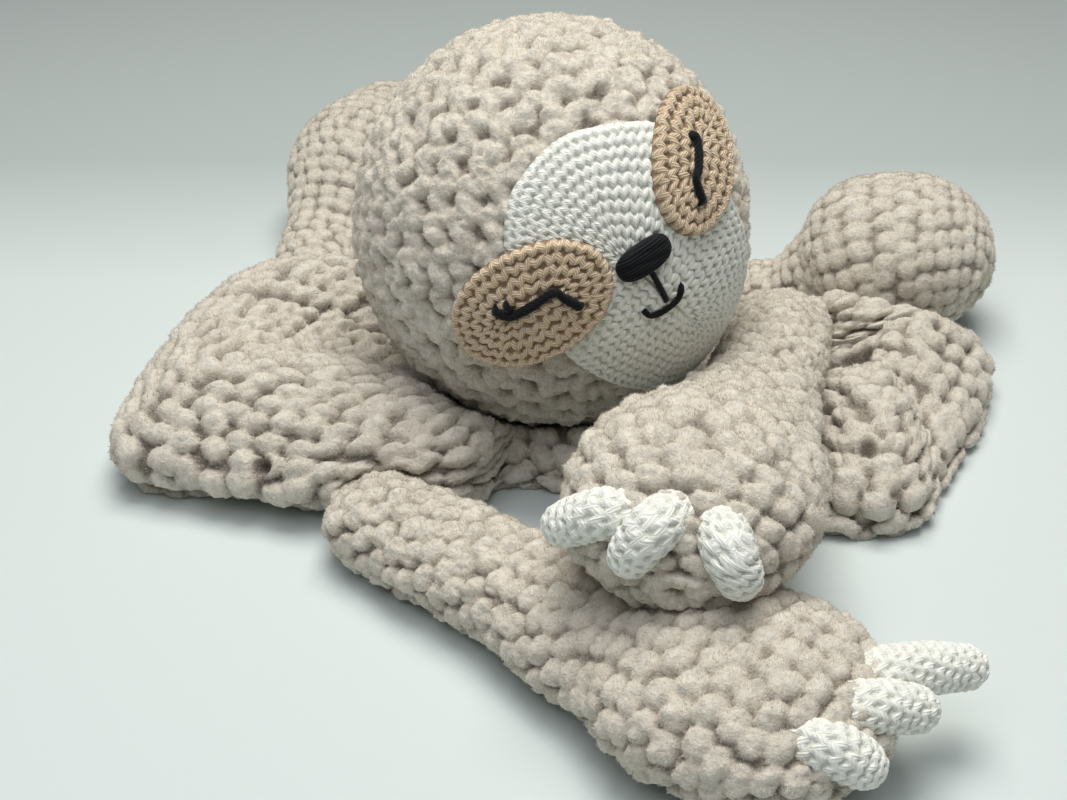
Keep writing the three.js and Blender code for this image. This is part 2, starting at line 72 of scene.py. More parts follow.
class Slot(Enum):
    """The record's material slots."""

    CHENILLE = "chenille"
    WHITE_COTTON = "white_cotton"
    TAN_COTTON = "tan_cotton"
    BLACK_THREAD = "black_thread"
    FIBREFILL = "fibrefill"


class Held(Enum):
    """Whether a piece is stuffed, a sheet of cloth, or neither."""

    STUFFED = "stuffed"
    SHEET = "sheet"
    PLAIN = "plain"


# Curves and surfaces


def unit(vectors: np.ndarray) -> np.ndarray:
    """Returns the vectors with length 1."""
    return vectors / np.maximum(np.linalg.norm(vectors, axis=-1, keepdims=True), 1e-9)


def spline(points: np.ndarray, at: np.ndarray, closed: bool = False) -> np.ndarray:
    """Follows a centripetal Catmull-Rom curve, the kind that the solids use.

    Args:
        points: The points that it passes through, first axis along the curve.
        at: Where to read it, in points from the first.
        closed: Whether the last point leads back to the first.

    Returns:
        The places on the curve, first axis as in at.
    """
    count = len(points)
    if closed:
        padded = np.concatenate([points[-1:], points, points[:2]])
    else:
        padded = np.concatenate([[2 * points[0] - points[1]], points, [2 * points[-1] - points[-2]]])
    last = count - 1 if closed else count - 2
    index = np.clip(np.floor(at).astype(int), 0, last)
    part = (at - index).reshape(-1, *([1] * (points.ndim - 1)))
    corners = [padded[index + k] for k in range(4)]
    steps = [
        np.sqrt(np.linalg.norm(b - a, axis=-1, keepdims=True))
        for a, b in zip(corners, corners[1:])
    ]
    least = 1e-4  # a shorter step counts as none
    middle = np.maximum(steps[1], least)
    before = np.where(steps[0] < least, middle, steps[0])
    after = np.where(steps[2] < least, middle, steps[2])
    a, b, c, d = corners
    leave = ((b - a) / before - (c - a) / (before + middle) + (c - b) / middle) * middle
    arrive = ((c - b) / middle - (d - b) / (middle + after) + (d - c) / after) * middle
    square = -3 * b + 3 * c - 2 * leave - arrive
    cube = 2 * b - 2 * c + leave + arrive
    return b + leave * part + square * part**2 + cube * part**3


def lengths_along(points: np.ndarray) -> np.ndarray:
    """Returns each point's distance along a polyline from its start."""
    steps = np.linalg.norm(np.diff(points, axis=0), axis=-1)
    return np.concatenate([[0.0], np.cumsum(steps)])


def at_lengths(points: np.ndarray, lengths: np.ndarray) -> np.ndarray:
    """Returns the places on a polyline at distances from its start."""
    run = lengths_along(points)
    return np.stack([np.interp(lengths, run, points[:, k]) for k in range(points.shape[1])], axis=-1)


def curve_of(path: Sequence[Sequence[float]], count: int = 400) -> np.ndarray:
    """Follows the smooth curve through a path's points.

    Args:
        path: The points.
        count: How many places are returned.

    Returns:
        Evenly spaced places on the curve.
    """
    points = np.array(path, float)
    dense = spline(points, np.linspace(0, len(points) - 1, 4 * count))
    return at_lengths(dense, np.linspace(0, lengths_along(dense)[-1], count))


def smoothstep(value: np.ndarray, low: np.ndarray | float, high: np.ndarray | float) -> np.ndarray:
    """Returns 0 below low, 1 above high, and eases between them."""
    part = np.clip((value - low) / (high - low), 0, 1)
    return part * part * (3 - 2 * part)


def noise(points: np.ndarray, size: float, seed: int) -> np.ndarray:
    """Smooth unevenness in space.

    Args:
        points: Where to read it.
        size: How far apart its lumps are.
        seed: Chooses one of many patterns.

    Returns:
        Values from -1 to 1, one for each point.
    """
    cells = 37
    lattice = np.random.default_rng(seed).uniform(-1, 1, (cells, cells, cells))
    place = points / size
    cell = np.floor(place).astype(int)
    part = place - cell
    part = part * part * (3 - 2 * part)
    total = np.zeros(points.shape[:-1])
    for corner in np.ndindex(2, 2, 2):
        weight = np.prod(np.where(np.array(corner) == 1, part, 1 - part), axis=-1)
        index = (cell + np.array(corner)) % cells
        total += weight * lattice[index[..., 0], index[..., 1], index[..., 2]]
    return total


def evened(rows: np.ndarray, times: int) -> np.ndarray:
    """Evens out values on closed rings.

    Args:
        rows: The values, rings by columns and any more.
        times: How often each value takes the mean of itself and its four neighbours.

    Returns:
        The evened values.
    """
    for _ in range(times):
        padded = np.concatenate([rows[:1], rows, rows[-1:]])
        beside = padded[:-2] + padded[2:]
        rows = (rows + beside + np.roll(rows, 1, axis=1) + np.roll(rows, -1, axis=1)) / 5
    return rows


def outward_of(points: np.ndarray) -> np.ndarray:
    """Finds the way out at each point of a surface of closed rings.

    Args:
        points: The surface, rings by columns by 3.

    Returns:
        The ways out, each of length 1.
    """
    around = np.roll(points, -1, axis=1) - np.roll(points, 1, axis=1)
    outward = np.cross(np.gradient(points, axis=0), around)
    if np.sum(outward * (points - points.mean(axis=(0, 1)))) < 0:
        outward = -outward
    return unit(outward)


# Crochet stitches


@dataclass(frozen=True)
class Leg:
    """One bulge of yarn in a stitch.

    Attributes:
        across: Its place along the round, as a share of a stitch.
        down: Its place towards the next round, as a share of a stitch.
        slant: Degrees from along the round towards the next round.
        length: Half its length, in mm.
        breadth: Half its breadth, in mm.
        lean: How much it rises towards the next round, mm per mm.
    """

    across: float
    down: float
    slant: float
    length: float
    breadth: float
    lean: float = 0.0


@dataclass(frozen=True)
class Stitch:
    """How one stitch of a crocheted fabric looks from outside.

    Attributes:
        width: Along the round, in mm.
        height: From round to round, in mm.
        legs: Its bulges of yarn.
        depth: From a bulge's top down to the hollow between bulges, in mm.
        slip: By how much each round runs on, as a share of a stitch.
        uneven: How far stitches differ, as a share of a stitch.
        filled: How high the hollows' bottoms lie, as a share of the depth.
    """

    width: float
    height: float
    legs: tuple[Leg, ...]
    depth: float
    slip: float = 0.42
    uneven: float = 0.1
    filled: float = 0.0


@dataclass
class Rounds:
    """Where each point of a surface lies in the crochet work.

    Attributes:
        row: Rounds from the first one, as a fraction, for each point.
        share: For given whole rounds, how far round them each point lies, from 0 to 1.
        lengths: The length of each round.
    """

    row: np.ndarray
    share: Callable[[np.ndarray], np.ndarray]
    lengths: np.ndarray


@dataclass
class Relief:
    """What a stitch adds at each point.

    Attributes:
        height: Its height over the hollows, in mm.
        strand: The place along and across the strand that lies on top, in mm.
    """

    height: np.ndarray
    strand: np.ndarray


FEWEST_STITCHES = 5
FULLNESS = 2.4  # of a bulge seen from above: 2 is an ellipse, more fills its corners
STEEPNESS = 0.42  # of its sides: 0.5 is round, less is flatter on top
SMOOTH_DEPTH = 2.0  # mm, the depth of the deepest stitch that shows no tufts of pile
TUFTS = ((1.3, 3.8), (0.7, 1.8), (0.2, 0.95))  # in chenille's pile: height and distance, in mm
TUFT_MEAN = 0.6  # mm, so that the pile takes away about as much as it adds

V_LEGS = (
    Leg(-0.25, 0.0, -52, 4.7, 3.1, 0.14),
    Leg(0.21, -0.16, 38, 4.0, 3.0, 0.14),
    Leg(0.31, 0.24, 44, 4.0, 2.9, 0.14),
)
CHENILLE_V = Stitch(9.2, 8.4, V_LEGS, depth=3.3, uneven=0.12, filled=0.15)
BEAN_LEG = Leg(0, 0, 10, 4.4, 3.0, 0.17)
CHENILLE_BEAN = Stitch(7.8, 5.3, (BEAN_LEG,), depth=2.5, slip=0.5, uneven=0.14, filled=0.1)
FOOT_LEG = Leg(0, 0, 10, 3.8, 2.9, 0.12)
CHENILLE_FOOT = Stitch(6.6, 5.0, (FOOT_LEG,), depth=2.0, slip=0.5, uneven=0.15, filled=0.2)
CLOTH_LEG = Leg(0, 0, 12, 4.7, 3.4, 0.12)
CHENILLE_CLOTH = Stitch(8.4, 6.2, (CLOTH_LEG,), depth=3.5, slip=0.46, uneven=0.2)
CLAW_LEGS = (Leg(-0.24, 0, 42, 1.5, 0.85), Leg(0.24, 0, -42, 1.5, 0.85))
CLAW_COTTON = Stitch(2.8, 2.3, CLAW_LEGS, depth=0.9, slip=0.35, uneven=0.13)
FINE_LEGS = (Leg(-0.24, 0, 62, 1.75, 0.86), Leg(0.24, 0, -62, 1.75, 0.86))
FINE_COTTON = Stitch(2.9, 2.9, FINE_LEGS, depth=1.05, slip=0.1, uneven=0.09)
DOUBLED_LEGS = (Leg(-0.23, 0, 50, 2.0, 0.98), Leg(0.25, 0.04, -56, 1.9, 0.92))
DOUBLED_COTTON = Stitch(3.1, 3.2, DOUBLED_LEGS, depth=1.05, slip=0.3, uneven=0.1)


def crochet(rounds: Rounds, stitch: Stitch, seed: int) -> Relief:
    """Works a surface in rounds of stitches.

    Args:
        rounds: Where each point lies in the work.
        stitch: The stitch.
        seed: Chooses how the stitches differ.

    Returns:
        What the stitches add at each point.
    """
    counts = np.maximum(np.round(rounds.lengths / stitch.width), FEWEST_STITCHES).astype(int)
    shape = (len(counts), counts.max(), len(stitch.legs), 4)
    shakes = np.random.default_rng(seed).uniform(-1, 1, shape)
    height = np.full(rounds.row.shape, stitch.filled * stitch.depth)
    strand = np.zeros((*rounds.row.shape, 2))
    for row_step in (-1, 0, 1):
        row = np.clip(np.floor(rounds.row).astype(int) + row_step, 0, len(counts) - 1)
        count = counts[row]
        wide = rounds.lengths[row] / count
        place = rounds.share(row) * count + stitch.slip * row
        for side_step in (-1, 0, 1):
            index = np.floor(place).astype(int) + side_step
            for number, leg in enumerate(stitch.legs):
                shake = shakes[row, index % count, number]
                across = place - index - 0.5 - leg.across - stitch.uneven * shake[..., 0]
                down = rounds.row - row - 0.5 - leg.down - stitch.uneven * shake[..., 1]
                across, down = across * wide, down * stitch.height
                slant = math.radians(leg.slant) + 2 * stitch.uneven * shake[..., 2]
                along = across * np.cos(slant) + down * np.sin(slant)
                aside = down * np.cos(slant) - across * np.sin(slant)
                bulge = 1 - np.abs(along / leg.length) ** FULLNESS
                bulge = bulge - np.abs(aside / leg.breadth) ** FULLNESS
                swell = stitch.depth * np.maximum(bulge, 0) ** STEEPNESS
                rise = swell * (1 + stitch.uneven * shake[..., 3]) + leg.lean * down
                higher = (bulge > 0) & (rise > height)
                height = np.where(higher, rise, height)
                strand = np.where(higher[..., None], np.stack([along, aside], axis=-1), strand)
    return Relief(height, strand)


# Meshes


def grid_faces(rings: int, columns: int) -> list[tuple[int, ...]]:
    """Lists the faces of a closed surface of rings.

    Args:
        rings: How many closed rings of points there are.
        columns: How many points each ring has.

    Returns:
        Faces between the rings, and fans to a point before the first and after the last.
    """
    ring, column = np.meshgrid(np.arange(rings - 1), np.arange(columns), indexing="ij")
    right = (column + 1) % columns
    corners = (ring, column), (ring, right), (ring + 1, right), (ring + 1, column)
    quads = np.stack([r * columns + c for r, c in corners], axis=-1).reshape(-1, 4)
    start, end = rings * columns, rings * columns + 1
    side = np.arange(columns)
    beside = (side + 1) % columns
    first = np.stack([np.full(columns, start), beside, side], axis=-1)
    base = (rings - 1) * columns
    last = np.stack([np.full(columns, end), base + side, base + beside], axis=-1)
    return [*map(tuple, quads.tolist()), *map(tuple, first.tolist()), *map(tuple, last.tolist())]


@dataclass
class Workshop:
    """Turns worked-out surfaces into Blender pieces and hands them to the frame.

    Attributes:
        shift: From the places used here to the frame, in mm.
        finishes: The material of each slot.
        fibres: The material of chenille's blades.
    """

    shift: np.ndarray
    finishes: dict[Slot, bpy.types.Material] = field(default_factory=dict)
    fibres: Optional[bpy.types.Material] = None

    @classmethod
    def on_frame(cls, head_height: float) -> "Workshop":
        """Finds the toy's place in the frame from the head's own box.

        Args:
            head_height: The height of the head's centre.

        Returns:
            The workshop, without its finishes.
        """
        low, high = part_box("head_cover")
        middle = (np.array(low) + np.array(high)) / 2 / MM
        return cls(middle - head_height * UP)

    def place(self, point: Sequence[float]) -> np.ndarray:
        """Returns a point in the frame, in metres."""
        return (np.array(point, float) + self.shift) * MM

    def from_mesh(
        self, name: str, points: np.ndarray, faces: list, closed: bool = True
    ) -> bpy.types.Object:
        """Makes an object of points and faces, turned right side out.

        Args:
            name: The piece's name.
            points: Its points, in mm.
            faces: Its faces, all wound the same way.
            closed: Whether they bound a body, which can then be turned right side out.

        Returns:
            The object, at the origin, selected alone.
        """
        places = (points.reshape(-1, 3) + self.shift) * MM
        mesh = bpy.data.meshes.new(name)
        mesh.from_pydata(places.tolist(), [], faces)
        mesh.update()
        piece = bpy.data.objects.new(name, mesh)
        bpy.context.scene.collection.objects.link(piece)
        select_only(piece)
        if closed and volume_of(mesh) < 0:
            mesh.flip_normals()
        bpy.ops.object.shade_smooth()
        return piece

    def from_rings(self, name: str, rings: np.ndarray) -> bpy.types.Object:
        """Makes a closed object of rings of points, the first and the last gathered to a point.

        Args:
            name: The piece's name.
            rings: Rings by columns by 3, in mm.

        Returns:
            The object.
        """
        ends = [rings[0].mean(axis=0), rings[-1].mean(axis=0)]
        points = np.concatenate([rings.reshape(-1, 3), ends])
        return self.from_mesh(name, points, grid_faces(*rings.shape[:2]))

    def hand_over(
        self,
        piece: bpy.types.Object,
        body: str,
        nodes: Iterable[str],
        slot: Slot,
        held: Held,
        **facts: object,
    ) -> None:
        """Gives a finished piece its finish and its place in the frame.

        Args:
            piece: The piece.
            body: The body that it rides on.
            nodes: The CAD nodes that it stands for.
            slot: Its finish.
            held: Whether it is stuffed, a sheet or neither; not used.
            facts: What the frame wants to know of a stuffed piece or a sheet; not used.
        """
        piece.data.materials.clear()
        piece.data.materials.append(self.finishes[slot])
        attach(piece, body)
        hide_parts(*nodes)
        LOG.info("%s: %d faces, rides on %s", piece.name, len(piece.data.polygons), body)


def select_only(piece: bpy.types.Object) -> None:
    """Selects one object and makes it the active one.

    Args:
        piece: The object.
    """
    bpy.ops.object.select_all(action="DESELECT")
    piece.select_set(True)
    bpy.context.view_layer.objects.active = piece


def join(piece: bpy.types.Object, other: bpy.types.Object) -> None:
    """Makes two objects one.

    Args:
        piece: The object that stays.
        other: The one that becomes part of it.
    """
    select_only(piece)
    other.select_set(True)
    bpy.ops.object.join()


def volume_of(mesh: bpy.types.Mesh) -> float:
    """Measures what a closed mesh bounds.

    Args:
        mesh: The mesh.

    Returns:
        Six times its volume, below zero where it is inside out.
    """
    mesh.calc_loop_triangles()
    corners = read(mesh.loop_triangles, "vertices", 3, np.int32)
    a, b, c = read(mesh.vertices, "co", 3)[corners].astype(float).transpose(1, 0, 2)
    return float(np.sum(a * np.cross(b, c)))


def read(
    items: bpy.types.bpy_prop_collection, name: str, wide: int, kind: type = np.float32
) -> np.ndarray:
    """Reads one property of all of a mesh's items.

    Args:
        items: The mesh's points, triangles or the like.
        name: The property.
        wide: How many numbers it has.
        kind: The kind of number.

    Returns:
        One row for each item, or one number where the property has one.
    """
    values = np.empty(len(items) * wide, kind)
    items.foreach_get(name, values)
    return values.reshape(-1, wide) if wide > 1 else values


def store(piece: bpy.types.Object, name: str, values: np.ndarray) -> None:
    """Keeps a value or a vector for each point of a piece, for its material.

    Args:
        piece: The piece.
        name: The attribute's name.
        values: One row for each point; points without one get zero.
    """
    wide = 3 if values.ndim > 1 else 1
    rows = values.reshape(len(values), -1)
    room = np.zeros((len(piece.data.vertices), wide), np.float32)
    room[: len(rows), : rows.shape[1]] = rows
    attribute = piece.data.attributes.new(name, "FLOAT_VECTOR" if wide == 3 else "FLOAT", "POINT")
    attribute.data.foreach_set("vector" if wide == 3 else "value", room.ravel())


@dataclass(frozen=True)
class Nap:
    """The short fibres that stand out of chenille yarn, as thin blades.

    Attributes:
        dense: Blades for each square millimetre.
        short: The shortest blade, in mm.
        long: The longest one.
        wide: The width at its foot.
        upright: The least angle from straight out, in degrees.
        flat: The greatest one.
        from_crest: How far out of the fabric a place lies that has blades.
        whorl: How far apart the whorls are that the blades follow, in mm.
        combed: How strongly they follow them.
        rooted: How deep a blade's foot lies in the fabric, in mm.
        paler: The least and the most by which a tip counts as further out than its foot, so that it is
            painted paler, a painted highlight.
    """

    dense: float = 4.8
    short: float = 0.35
    long: float = 0.95
    wide: float = 0.24
    upright: float = 18.0
    flat: float = 62.0
    from_crest: float = 0.3
    whorl: float = 2.4
    combed: float = 2.2
    rooted: float = 0.15
    paler: tuple[float, float] = (0.15, 0.55)

    def grow(self, shop: Workshop, cover: bpy.types.Object, body: str, seed: int) -> None:
        """Covers a chenille piece with blades where it can be seen, all one object.

        Args:
            shop: The workshop.
            cover: The piece.
            body: The body that it rides on.
            seed: Chooses the places.
        """
        mesh = cover.data
        mesh.calc_loop_triangles()
        corners = read(mesh.loop_triangles, "vertices", 3, np.int32)
        places = read(mesh.vertices, "co", 3).astype(float) / MM - shop.shift
        outward = read(mesh.vertex_normals, "vector", 3).astype(float)
        crest = read(mesh.attributes["crest"].data, "value", 1)
        in_view = outward[corners].mean(axis=1)[:, 2] > UNDERSIDE
        corners = corners[in_view & (crest[corners].mean(axis=1) > self.from_crest)]
        a, b, c = places[corners].transpose(1, 0, 2)
        areas = np.cumsum(np.linalg.norm(np.cross(b - a, c - a), axis=-1) / 2)
        count = int(areas[-1] * self.dense)
        chance = np.random.default_rng(seed)
        picked = np.searchsorted(areas, chance.uniform(0, areas[-1], count))
        picked = corners[picked.clip(0, len(corners) - 1)]
        shares = chance.dirichlet((1, 1, 1), count)
        foot = np.sum(places[picked] * shares[..., None], axis=1)
        straight = unit(np.sum(outward[picked] * shares[..., None], axis=1))
        whorls = np.stack([noise(foot, self.whorl, seed + k) for k in range(3)], axis=-1)
        aside = unit(np.cross(straight, chance.normal(0, 1, (count, 3)) + self.combed * whorls))
        angle = np.radians(chance.uniform(self.upright, self.flat, count))[:, None]
        way = straight * np.cos(angle) + np.cross(aside, straight) * np.sin(angle)
        half = aside * self.wide / 2
        tip = foot + way * chance.uniform(self.short, self.long, count)[:, None]
        foot = foot - straight * self.rooted
        points = np.stack([foot - half, foot + half, tip], axis=1)
        faces = np.arange(3 * count).reshape(-1, 3).tolist()
        blades = shop.from_mesh(f"{cover.name}_nap", points, faces, closed=False)
        # A blade takes the crest at its foot, so blades in the hollows carry their painted shade, and its tip
        # counts further out: a painted highlight.
        low = np.sum(crest[picked] * shares, axis=1)
        crests = np.stack([low, low, low + chance.uniform(*self.paler, count)], axis=-1)
        store(blades, "crest", crests.ravel())
        blades.data.materials.append(shop.fibres)
        blades.visible_shadow = False
        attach(blades, body)
        LOG.info("%s: %d blades", blades.name, count)


# Finishes


def linear(colour: str) -> tuple[float, float, float, float]:
    """Turns an sRGB colour into the linear values that a shader wants.

    Args:
        colour: The colour in hex, as in "#ffffff".

    Returns:
        Red, green, blue, and 1 for alpha.
    """
    parts = [int(colour[k : k + 2], 16) / 255 for k in (1, 3, 5)]
    red, green, blue = (p / 12.92 if p <= 0.04045 else ((p + 0.055) / 1.055) ** 2.4 for p in parts)
    return (red, green, blue, 1.0)


def add_node(
    tree: bpy.types.NodeTree, kind: str, inputs: Optional[dict] = None, **settings: object
) -> bpy.types.Node:
    """Adds a node to a material.

    Args:
        tree: The material's nodes.
        kind: The node's type.
        inputs: For each input by name or number, a value or the output that feeds it.
        settings: The node's own settings.

    Returns:
        The node.
    """
    made = tree.nodes.new(kind)
    for name, value in settings.items():
        setattr(made, name, value)
    for name, value in (inputs or {}).items():
        if isinstance(value, bpy.types.NodeSocket):
            tree.links.new(value, made.inputs[name])
        else:
            made.inputs[name].default_value = value
    return made


@dataclass(frozen=True)
class Coat:
    """A colour laid over the ones before it, where a pattern's values lie in a range.

    Attributes:
        pattern: The output that gives the pattern.
        start: The value at which the colour starts to show.
        end: The value at which it shows most.
        colour: The colour.
        most: How much of it shows there.
    """

    pattern: bpy.types.NodeSocket
    start: float
    end: float
    colour: str
    most: float = 1.0


@dataclass(frozen=True)
class Grain:
    """A pattern raised from the surface.

    Attributes:
        pattern: The output that gives the pattern.
        strength: How strongly it shows.
        height: How high it stands, in mm.
    """

    pattern: bpy.types.NodeSocket
    strength: float
    height: float


@dataclass
class Recipe:
    """A material while it is being made up.

    Attributes:
        name: Its name.
    """

    name: str

    def __post_init__(self) -> None:
        """Starts the material without nodes."""
        self.material = bpy.data.materials.new(self.name)
        self.material.use_nodes = True
        self.tree = self.material.node_tree
        self.tree.nodes.clear()

    def coords(self) -> bpy.types.NodeSocket:
        """Returns the places on the piece."""
        return add_node(self.tree, "ShaderNodeTexCoord").outputs["Object"]

    def stored(self, name: str, output: str = "Fac") -> bpy.types.NodeSocket:
        """Returns what store kept on the piece under a name."""
        return add_node(self.tree, "ShaderNodeAttribute", attribute_name=name).outputs[output]

    def patterns(self, *grains: tuple[float, float]) -> list[bpy.types.NodeSocket]:
        """Adds irregular patterns.

        Args:
            grains: For each, the size of its grain in mm and how much detail it has.

        Returns:
            Their outputs.
        """
        coords = self.coords()
        made = []
        for size, detail in grains:
            inputs = {"Vector": coords, "Scale": 1 / (size * MM), "Detail": detail}
            made.append(add_node(self.tree, "ShaderNodeTexNoise", inputs).outputs[0])
        return made

    def coated(self, ground: str, *coats: Coat) -> bpy.types.NodeSocket:
        """Lays coats of colour on each other.

        Args:
            ground: The colour under them all.
            coats: The coats, the lowest first.

        Returns:
            The output that gives the colour.
        """
        colour = linear(ground)
        for coat in coats:
            ends = {"Value": coat.pattern, "From Min": coat.start, "From Max": coat.end, "To Max": coat.most}
            share = add_node(self.tree, "ShaderNodeMapRange", ends).outputs[0]
            layers = {0: share, 6: colour, 7: linear(coat.colour)}
            colour = add_node(self.tree, "ShaderNodeMix", layers, data_type="RGBA").outputs[2]
        return colour

    def finish(self, shader: bpy.types.Node) -> bpy.types.Material:
        """Puts a shader on the surface and returns the material."""
        add_node(self.tree, "ShaderNodeOutputMaterial", {"Surface": shader.outputs[0]})
        return self.material

    def dress(
        self, colour: bpy.types.NodeSocket, grains: Sequence[Grain], shine: dict
    ) -> bpy.types.Material:
        """Finishes the material as an opaque one.

        Args:
            colour: The output that gives its colour.
            grains: The patterns raised from it, the coarsest first.
            shine: How it throws back the light: more inputs of its shader by name.

        Returns:
            The material.
        """
        inputs = {"Base Color": colour, **shine}
        for grain in grains:
            raised = {"Strength": grain.strength, "Distance": grain.height * MM, "Height": grain.pattern}
            if "Normal" in inputs:
                raised["Normal"] = inputs["Normal"]
            inputs["Normal"] = add_node(self.tree, "ShaderNodeBump", raised).outputs[0]
        return self.finish(add_node(self.tree, "ShaderNodeBsdfPrincipled", inputs))


@dataclass(frozen=True)
class ChenilleFinish:
    """Polyester chenille yarn: a soft matt pile, with painted light that makes it paler where it stands up
    and painted shade that makes it brown in the hollows.

    Attributes:
        top: The colour of a bulge's top, a painted highlight.
        side: The colour of its sides, between the painted highlight and the painted shade.
        hollow: The colour between the bulges and between the tufts, painted shade.
        fleck: The colour of the fibres that catch the light.
        glow: The colour of the pile seen at a slant.
        fibre: The size of a clump of pile fibres, in mm.
        tuft: The size of a tuft, in mm.
        cloud: The size of the slow changes of colour, in mm.
    """

    top: str = "#d9d3c7"
    side: str = "#c8c0b3"
    hollow: str = "#776e63"
    fleck: str = "#e8e4da"
    glow: str = "#fff6ec"
    fibre: float = 0.5
    tuft: float = 1.7
    cloud: float = 1 / 0.024

    def material(self) -> bpy.types.Material:
        """Builds the material, whose colour follows how far each point stands out of the fabric: painted
        shade low down, painted light on top.

        Returns:
            The material.
        """
        recipe = Recipe("greige chenille pile")
        crest = recipe.stored("crest")
        fibres, tufts, clouds = recipe.patterns((self.fibre, 3.0), (self.tuft, 2.0), (self.cloud, 1.0))
        # Painted shade in the hollows and between the tufts, a painted highlight on the tops and on the
        # raised fibres; only the slow clouds are the yarn's own uneven tone.
        colour = recipe.coated(
            self.hollow,
            Coat(crest, 0.1, 0.6, self.side),
            Coat(crest, 0.5, 1.0, self.top),
            Coat(crest, 1.0, 1.5, self.fleck),
            Coat(fibres, 0.5, 0.72, self.fleck, 0.5),
            Coat(tufts, 0.55, 0.3, self.hollow, 0.3),
            Coat(clouds, 0.35, 0.65, self.side, 0.16),
        )
        shine = {
            "Roughness": 0.95,
            "Specular IOR Level": 0.15,
            "Sheen Weight": 0.35,
            "Sheen Roughness": 0.55,
            "Sheen Tint": linear(self.glow),
        }
        return recipe.dress(colour, (Grain(tufts, 0.55, 0.9), Grain(fibres, 0.6, 0.4)), shine)

    def fibres(self) -> bpy.types.Material:
        """Builds the material of the blades, which let half of the light through.

        Returns:
            The material.
        """
        recipe = Recipe("greige chenille fibres")
        crest = recipe.stored("crest")
        # The same painted shade low down and painted highlight on top as the pile, by the crest stored on
        # each blade.
        colour = recipe.coated(
            self.hollow,
            Coat(crest, 0.2, 0.8, self.side),
            Coat(crest, 0.6, 1.1, self.top),
            Coat(crest, 1.0, 1.5, self.fleck),
        )
        near = add_node(recipe.tree, "ShaderNodeBsdfDiffuse", {"Color": colour})
        through = add_node(recipe.tree, "ShaderNodeBsdfTranslucent", {"Color": colour})
        both = {0: 0.5, 1: near.outputs[0], 2: through.outputs[0]}
        return recipe.finish(add_node(recipe.tree, "ShaderNodeMixShader", both))


@dataclass(frozen=True)
class CottonFinish:
    """Mercerised cotton yarn, several plies twisted: fine slanting lines of painted glint and painted shade,
    and a faint gloss.

    Attributes:
        name: The material's name.
        yarn: Its colour.
        shade: The colour between the stitches and the plies, painted shade; also laid faintly in slow random
            clouds.
        glint: The colour of a ply that catches the light, a painted highlight.
        ply: From one ply to the next, in mm.
        gloss: How strongly it shines.
        twist: How strongly the plies stand out, in bumps and in their painted glint and shade.
        slant: How far the plies are turned from across the strand, in degrees.
        fuzz: The size of its fine hairs, in mm.
        cloud: The size of the slow changes of colour, in mm.
    """

    name: str
    yarn: str
    shade: str
    glint: str
    ply: float = 0.62
    gloss: float = 0.3
    twist: float = 0.5
    slant: float = 62.0
    fuzz: float = 1 / 2.4
    cloud: float = 1 / 0.12

    def material(self) -> bpy.types.Material:
        """Builds the material, whose plies follow the strand's places stored on the piece.

        Returns:
            The material.
        """
        recipe = Recipe(self.name)
        crest = recipe.stored("crest")
        turn = {"Vector": recipe.stored("strand", "Vector"), "Rotation": (0, 0, math.radians(self.slant))}
        turned = add_node(recipe.tree, "ShaderNodeMapping", turn).outputs[0]
        # At a scale of 1 the wave node runs through 20 radians in each unit
        wave = {"Vector": turned, "Scale": math.tau / 20 / self.ply, "Distortion": 0.6, "Detail": 1.0}
        plies = add_node(recipe.tree, "ShaderNodeTexWave", wave).outputs[1]
        fuzz, clouds = recipe.patterns((self.fuzz, 2.0), (self.cloud, 1.0))
        # Painted shade low between the stitches and between the plies, a painted highlight on the plies'
        # tops; the clouds are random tone.
        colour = recipe.coated(
            self.shade,
            Coat(crest, 0.05, 0.7, self.yarn),
            Coat(plies, 0.55, 0.95, self.glint, 0.8 * self.twist),
            Coat(plies, 0.4, 0.05, self.shade, 0.7 * self.twist),
            Coat(clouds, 0.35, 0.65, self.shade, 0.15),
        )
        shine = {
            "Roughness": 0.7,
            "Specular IOR Level": self.gloss,
            "Sheen Weight": 0.15,
            "Sheen Roughness": 0.4,
        }
        return recipe.dress(colour, (Grain(plies, self.twist, 0.25), Grain(fuzz, 0.3, 0.1)), shine)


@dataclass(frozen=True)
class FillFinish:
    """Loose polyester fibrefill: white, matt, woolly.

    Attributes:
        fibre: The colour of its fibres.
        shade: The colour between them, painted shade where the clumps lie low.
        wool: The size of a clump of fibres, in mm.
    """

    fibre: str = "#f1efea"
    shade: str = "#d9d6cf"
    wool: float = 1 / 0.7

    def material(self) -> bpy.types.Material:
        """Builds the material.

        Returns:
            The material.
        """
        recipe = Recipe("white polyester fibrefill")
        (wool,) = recipe.patterns((self.wool, 4.0))
        # Painted shade where the wool pattern, which also raises the bumps, lies low.
        colour = recipe.coated(self.shade, Coat(wool, 0.35, 0.65, self.fibre))
        shine = {"Roughness": 1.0, "Specular IOR Level": 0.1, "Sheen Weight": 0.4}
        return recipe.dress(colour, (Grain(wool, 0.6, 1.0),), shine)


FINISHES = {
    Slot.CHENILLE: ChenilleFinish(),
    Slot.WHITE_COTTON: CottonFinish("white mercerised cotton", "#f7f8f0", "#d9dbcf", "#fefefb"),
    Slot.TAN_COTTON: CottonFinish(
        "tan mercerised cotton", "#dfc5a3", "#8f7356", "#fbf0dd", ply=0.6, gloss=0.5, twist=0.65
    ),
    Slot.BLACK_THREAD: CottonFinish(
        "black embroidery thread", "#0c0e12", "#050608", "#1c2026", ply=0.5, gloss=0.2
    ),
    Slot.FIBREFILL: FillFinish(),
}


# The head and its face


